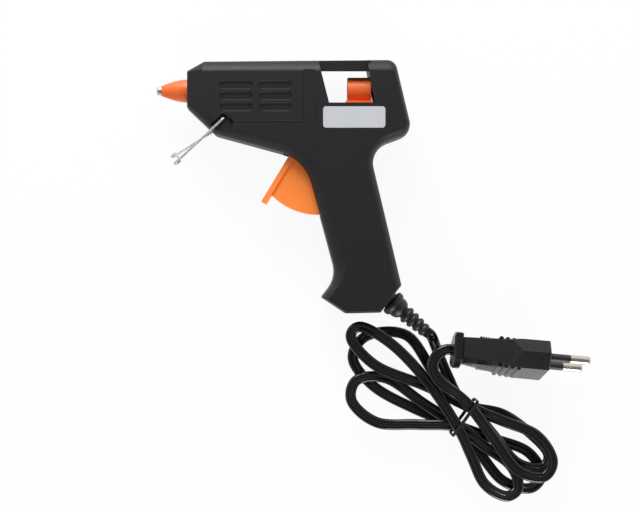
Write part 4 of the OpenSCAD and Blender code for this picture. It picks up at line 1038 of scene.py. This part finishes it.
joined(plug, plug_rib_pieces, "UNION")
GRIP_SLOT = (-37.2, -34.0, -8, -4.4, 0.1, 1.5)
joined(plug, [solid("slot", block(*GRIP_SLOT), plug_pvc, PLUG)], "DIFFERENCE")
settled(tidy_shading(plug, 20), "housing", "plug", "plug_body")

# %% Pins and their sleeves
# Brass pins, nickel-plated: warm bright metal. Their sleeves share the boot's PVC.
pin_nickel = grained("nickel_plated_pins", "#d6d1c8", "#c4beb4", (0.16, 0.28), 0.7, 0.004, 3, Metallic=1.0)
PIN_GAP, PIN_R, CORE_PIN_R, SLEEVE_LEN, PIN_LEN = 18.6, 2.0, 1.45, 9.8, 19.0
pin_tip = [(PIN_LEN - 1 + math.sin(a), PIN_R - 1 + math.cos(a)) for a in np.linspace(0, math.pi / 2, 7)]
pin_profile = [(0, 0), (0, CORE_PIN_R), (SLEEVE_LEN, CORE_PIN_R), (SLEEVE_LEN, PIN_R - 0.1),
               (SLEEVE_LEN + 0.1, PIN_R), *pin_tip, (PIN_LEN, 0)]
sleeve_line = [(0, CORE_PIN_R + 0.02), (0, PIN_R - 0.1), (SLEEVE_LEN - 0.3, PIN_R - 0.1),
               (SLEEVE_LEN, PIN_R - 0.3), (SLEEVE_LEN, CORE_PIN_R + 0.02)]


def pair(name, profile, material, closed):
    """Two turned parts, one for each pin, in one mesh."""
    points, faces = turned(profile, 32, closed)
    aside = np.array([0, 0, PIN_GAP / 2])
    second = [tuple(i + len(points) for i in face) for face in faces]
    both = np.concatenate([points - aside, points + aside]), faces + second
    return smooth(solid(name, both, material, PLUG))


pins = settled(pair("plug_pin_pair", pin_profile, pin_nickel, False), "housing", "pins", "plug_pins")
sleeves = settled(pair("pin_sleeve_pair", sleeve_line, boot_pvc, True), "housing", "relief", "pin_sleeves")

# %% [markdown]
# ## What is inside
#
# The heater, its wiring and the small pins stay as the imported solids, since their shapes are right.
# They still get real finishes, because they show when the housing is opened.

# %% Finishes for the inner solids
inner_finishes = {
    # Cast aluminium: pale and slightly sparkling from the casting skin.
    grained("cast_aluminium", "#b9babd", "#a9abaf", (0.38, 0.55), 0.8, 0.02, 5, Metallic=1.0):
        ["melt_chamber"],
    # Sintered ceramic: dark, dry and fine-grained.
    grained("sintered_ceramic", "#4b4a4c", "#403f41", (0.7, 0.85), 0.4, 0.01, 4): ["ptc_heater"],
    # Rolled brass sheet: yellow with a soft shine.
    grained("rolled_brass", "#c9a75c", "#bd9a50", (0.25, 0.4), 0.6, 0.004, 4, Metallic=1.0):
        ["heater_electrodes"],
    # Polyimide film: amber and glassy.
    grained("amber_polyimide", "#c97a22", "#b96c1a", (0.12, 0.22), 0.8, 0.003, 5): ["insulating_film"],
    # Spring steel: grey, with a brushed dullness.
    grained("spring_steel", "#a7aaae", "#93979c", (0.28, 0.42), 0.5, 0.004, 3, Metallic=1.0):
        ["heater_clip", "sleeve_clamp", "trigger_pin", "feeder_pin", "stick_gripper", "return_spring"],
    # Silicone rubber: milky, soft and dull.
    grained("milky_silicone", "#e6e2d6", "#dcd7c9", (0.5, 0.65), 0.9, 0.01, 6): ["inlet_sleeve"],
    # Glass-braided silicone wire: brick red, dry.
    grained("braided_red_wire", "#a3271f", "#8f2019", (0.55, 0.7), 0.4, 0.02, 3): ["lead_wires"],
    # Nylon crimp caps: off-white and waxy.
    grained("nylon_crimp", "#e4e3df", "#d9d8d3", (0.4, 0.5), 0.8, 0.006, 4): ["crimp_splices"],
    lead_pvc: ["cord_stub"],
}
for material, names in inner_finishes.items():
    for name in names:
        nodes[name].data.materials.clear()
        nodes[name].data.materials.append(material)
print("inner solids dressed:", sum(len(names) for names in inner_finishes.values()))

# %% [markdown]
# ## Table and light
#
# The gun lies on a white sweep. A white floor lit by the same lamps would turn grey at its rim, so
# rays from the camera, and mirror rays, see mostly plain white, and the rest is ordinary white paint
# that keeps a soft shadow. The sky is bright at its sides and darker overhead, as under a
# camera in a light tent: that keeps flat black faces black and lights their rounded edges.

# %% Floor
FLOOR_Z, FLOOR_HALF, SHADOW_SHARE = -0.2, 1500.0, 0.07
white_table = bpy.data.materials.new("white_table")
white_table.use_nodes = True
tree = white_table.node_tree
paint = tree.nodes["Principled BSDF"]
paint.inputs["Base Color"].default_value = linear("#f4f4f4")
paint.inputs["Roughness"].default_value = 0.8
glow = add(tree, "ShaderNodeEmission", {"Color": linear("#ffffff"), "Strength": 1.0})
rays = add(tree, "ShaderNodeLightPath").outputs
seen = worked(tree, "MAXIMUM", rays["Is Camera Ray"], rays["Is Glossy Ray"])
shown = worked(tree, "MAXIMUM", seen, rays["Is Transmission Ray"])
share = worked(tree, "MULTIPLY", shown, 1 - SHADOW_SHARE)
table_mix = add(tree, "ShaderNodeMixShader", {0: share, 1: paint.outputs["BSDF"], 2: glow.outputs[0]})
tree.links.new(table_mix.outputs["Shader"], tree.nodes["Material Output"].inputs["Surface"])
table_skin = block(-FLOOR_HALF, FLOOR_HALF, -FLOOR_HALF, FLOOR_HALF, FLOOR_Z - 5, FLOOR_Z)
floor = solid("table", table_skin, white_table, PART)
print("table at", FLOOR_Z, "mm")

# %% Sky and lamps
SKY_SIDE, SKY_OVERHEAD, SKY_LEAN = 0.7, 0.2, 0.4
world = bpy.data.worlds.new("light_tent")
world.use_nodes = True
scene.world = world
tree = world.node_tree
direction = add(tree, "ShaderNodeTexCoord").outputs["Generated"]
height = add(tree, "ShaderNodeSeparateXYZ", {"Vector": direction}).outputs
sky = add(tree, "ShaderNodeMapRange", {"Value": height["Z"], "From Min": 0.6, "From Max": 0.92,
                                       "To Min": SKY_SIDE, "To Max": SKY_OVERHEAD},
          interpolation_type="SMOOTHSTEP").outputs["Result"]
leaning = worked(tree, "MULTIPLY", sky, worked(tree, "MULTIPLY_ADD", height["Y"], SKY_LEAN, 1.0))
tree.nodes["Background"].inputs["Color"].default_value = linear("#ffffff")
tree.links.new(leaning, tree.nodes["Background"].inputs["Strength"])
LAMPS = {"window_lamp": ((-120, 660, 400), 420, 6.6), "front_lamp": ((160, -680, 170), 300, 2.8)}
for name, (at, size, watts) in LAMPS.items():
    lamp = bpy.data.lights.new(name, "AREA")
    lamp.size = size * MM
    lamp.energy = watts
    made = bpy.data.objects.new(name, lamp)
    made.location = Vector(at) * MM
    made.rotation_euler = (-Vector(at)).to_track_quat("-Z", "Y").to_euler()
    scene.collection.objects.link(made)
scene.view_settings.view_transform = "Standard"
print("lamps:", ", ".join(LAMPS))
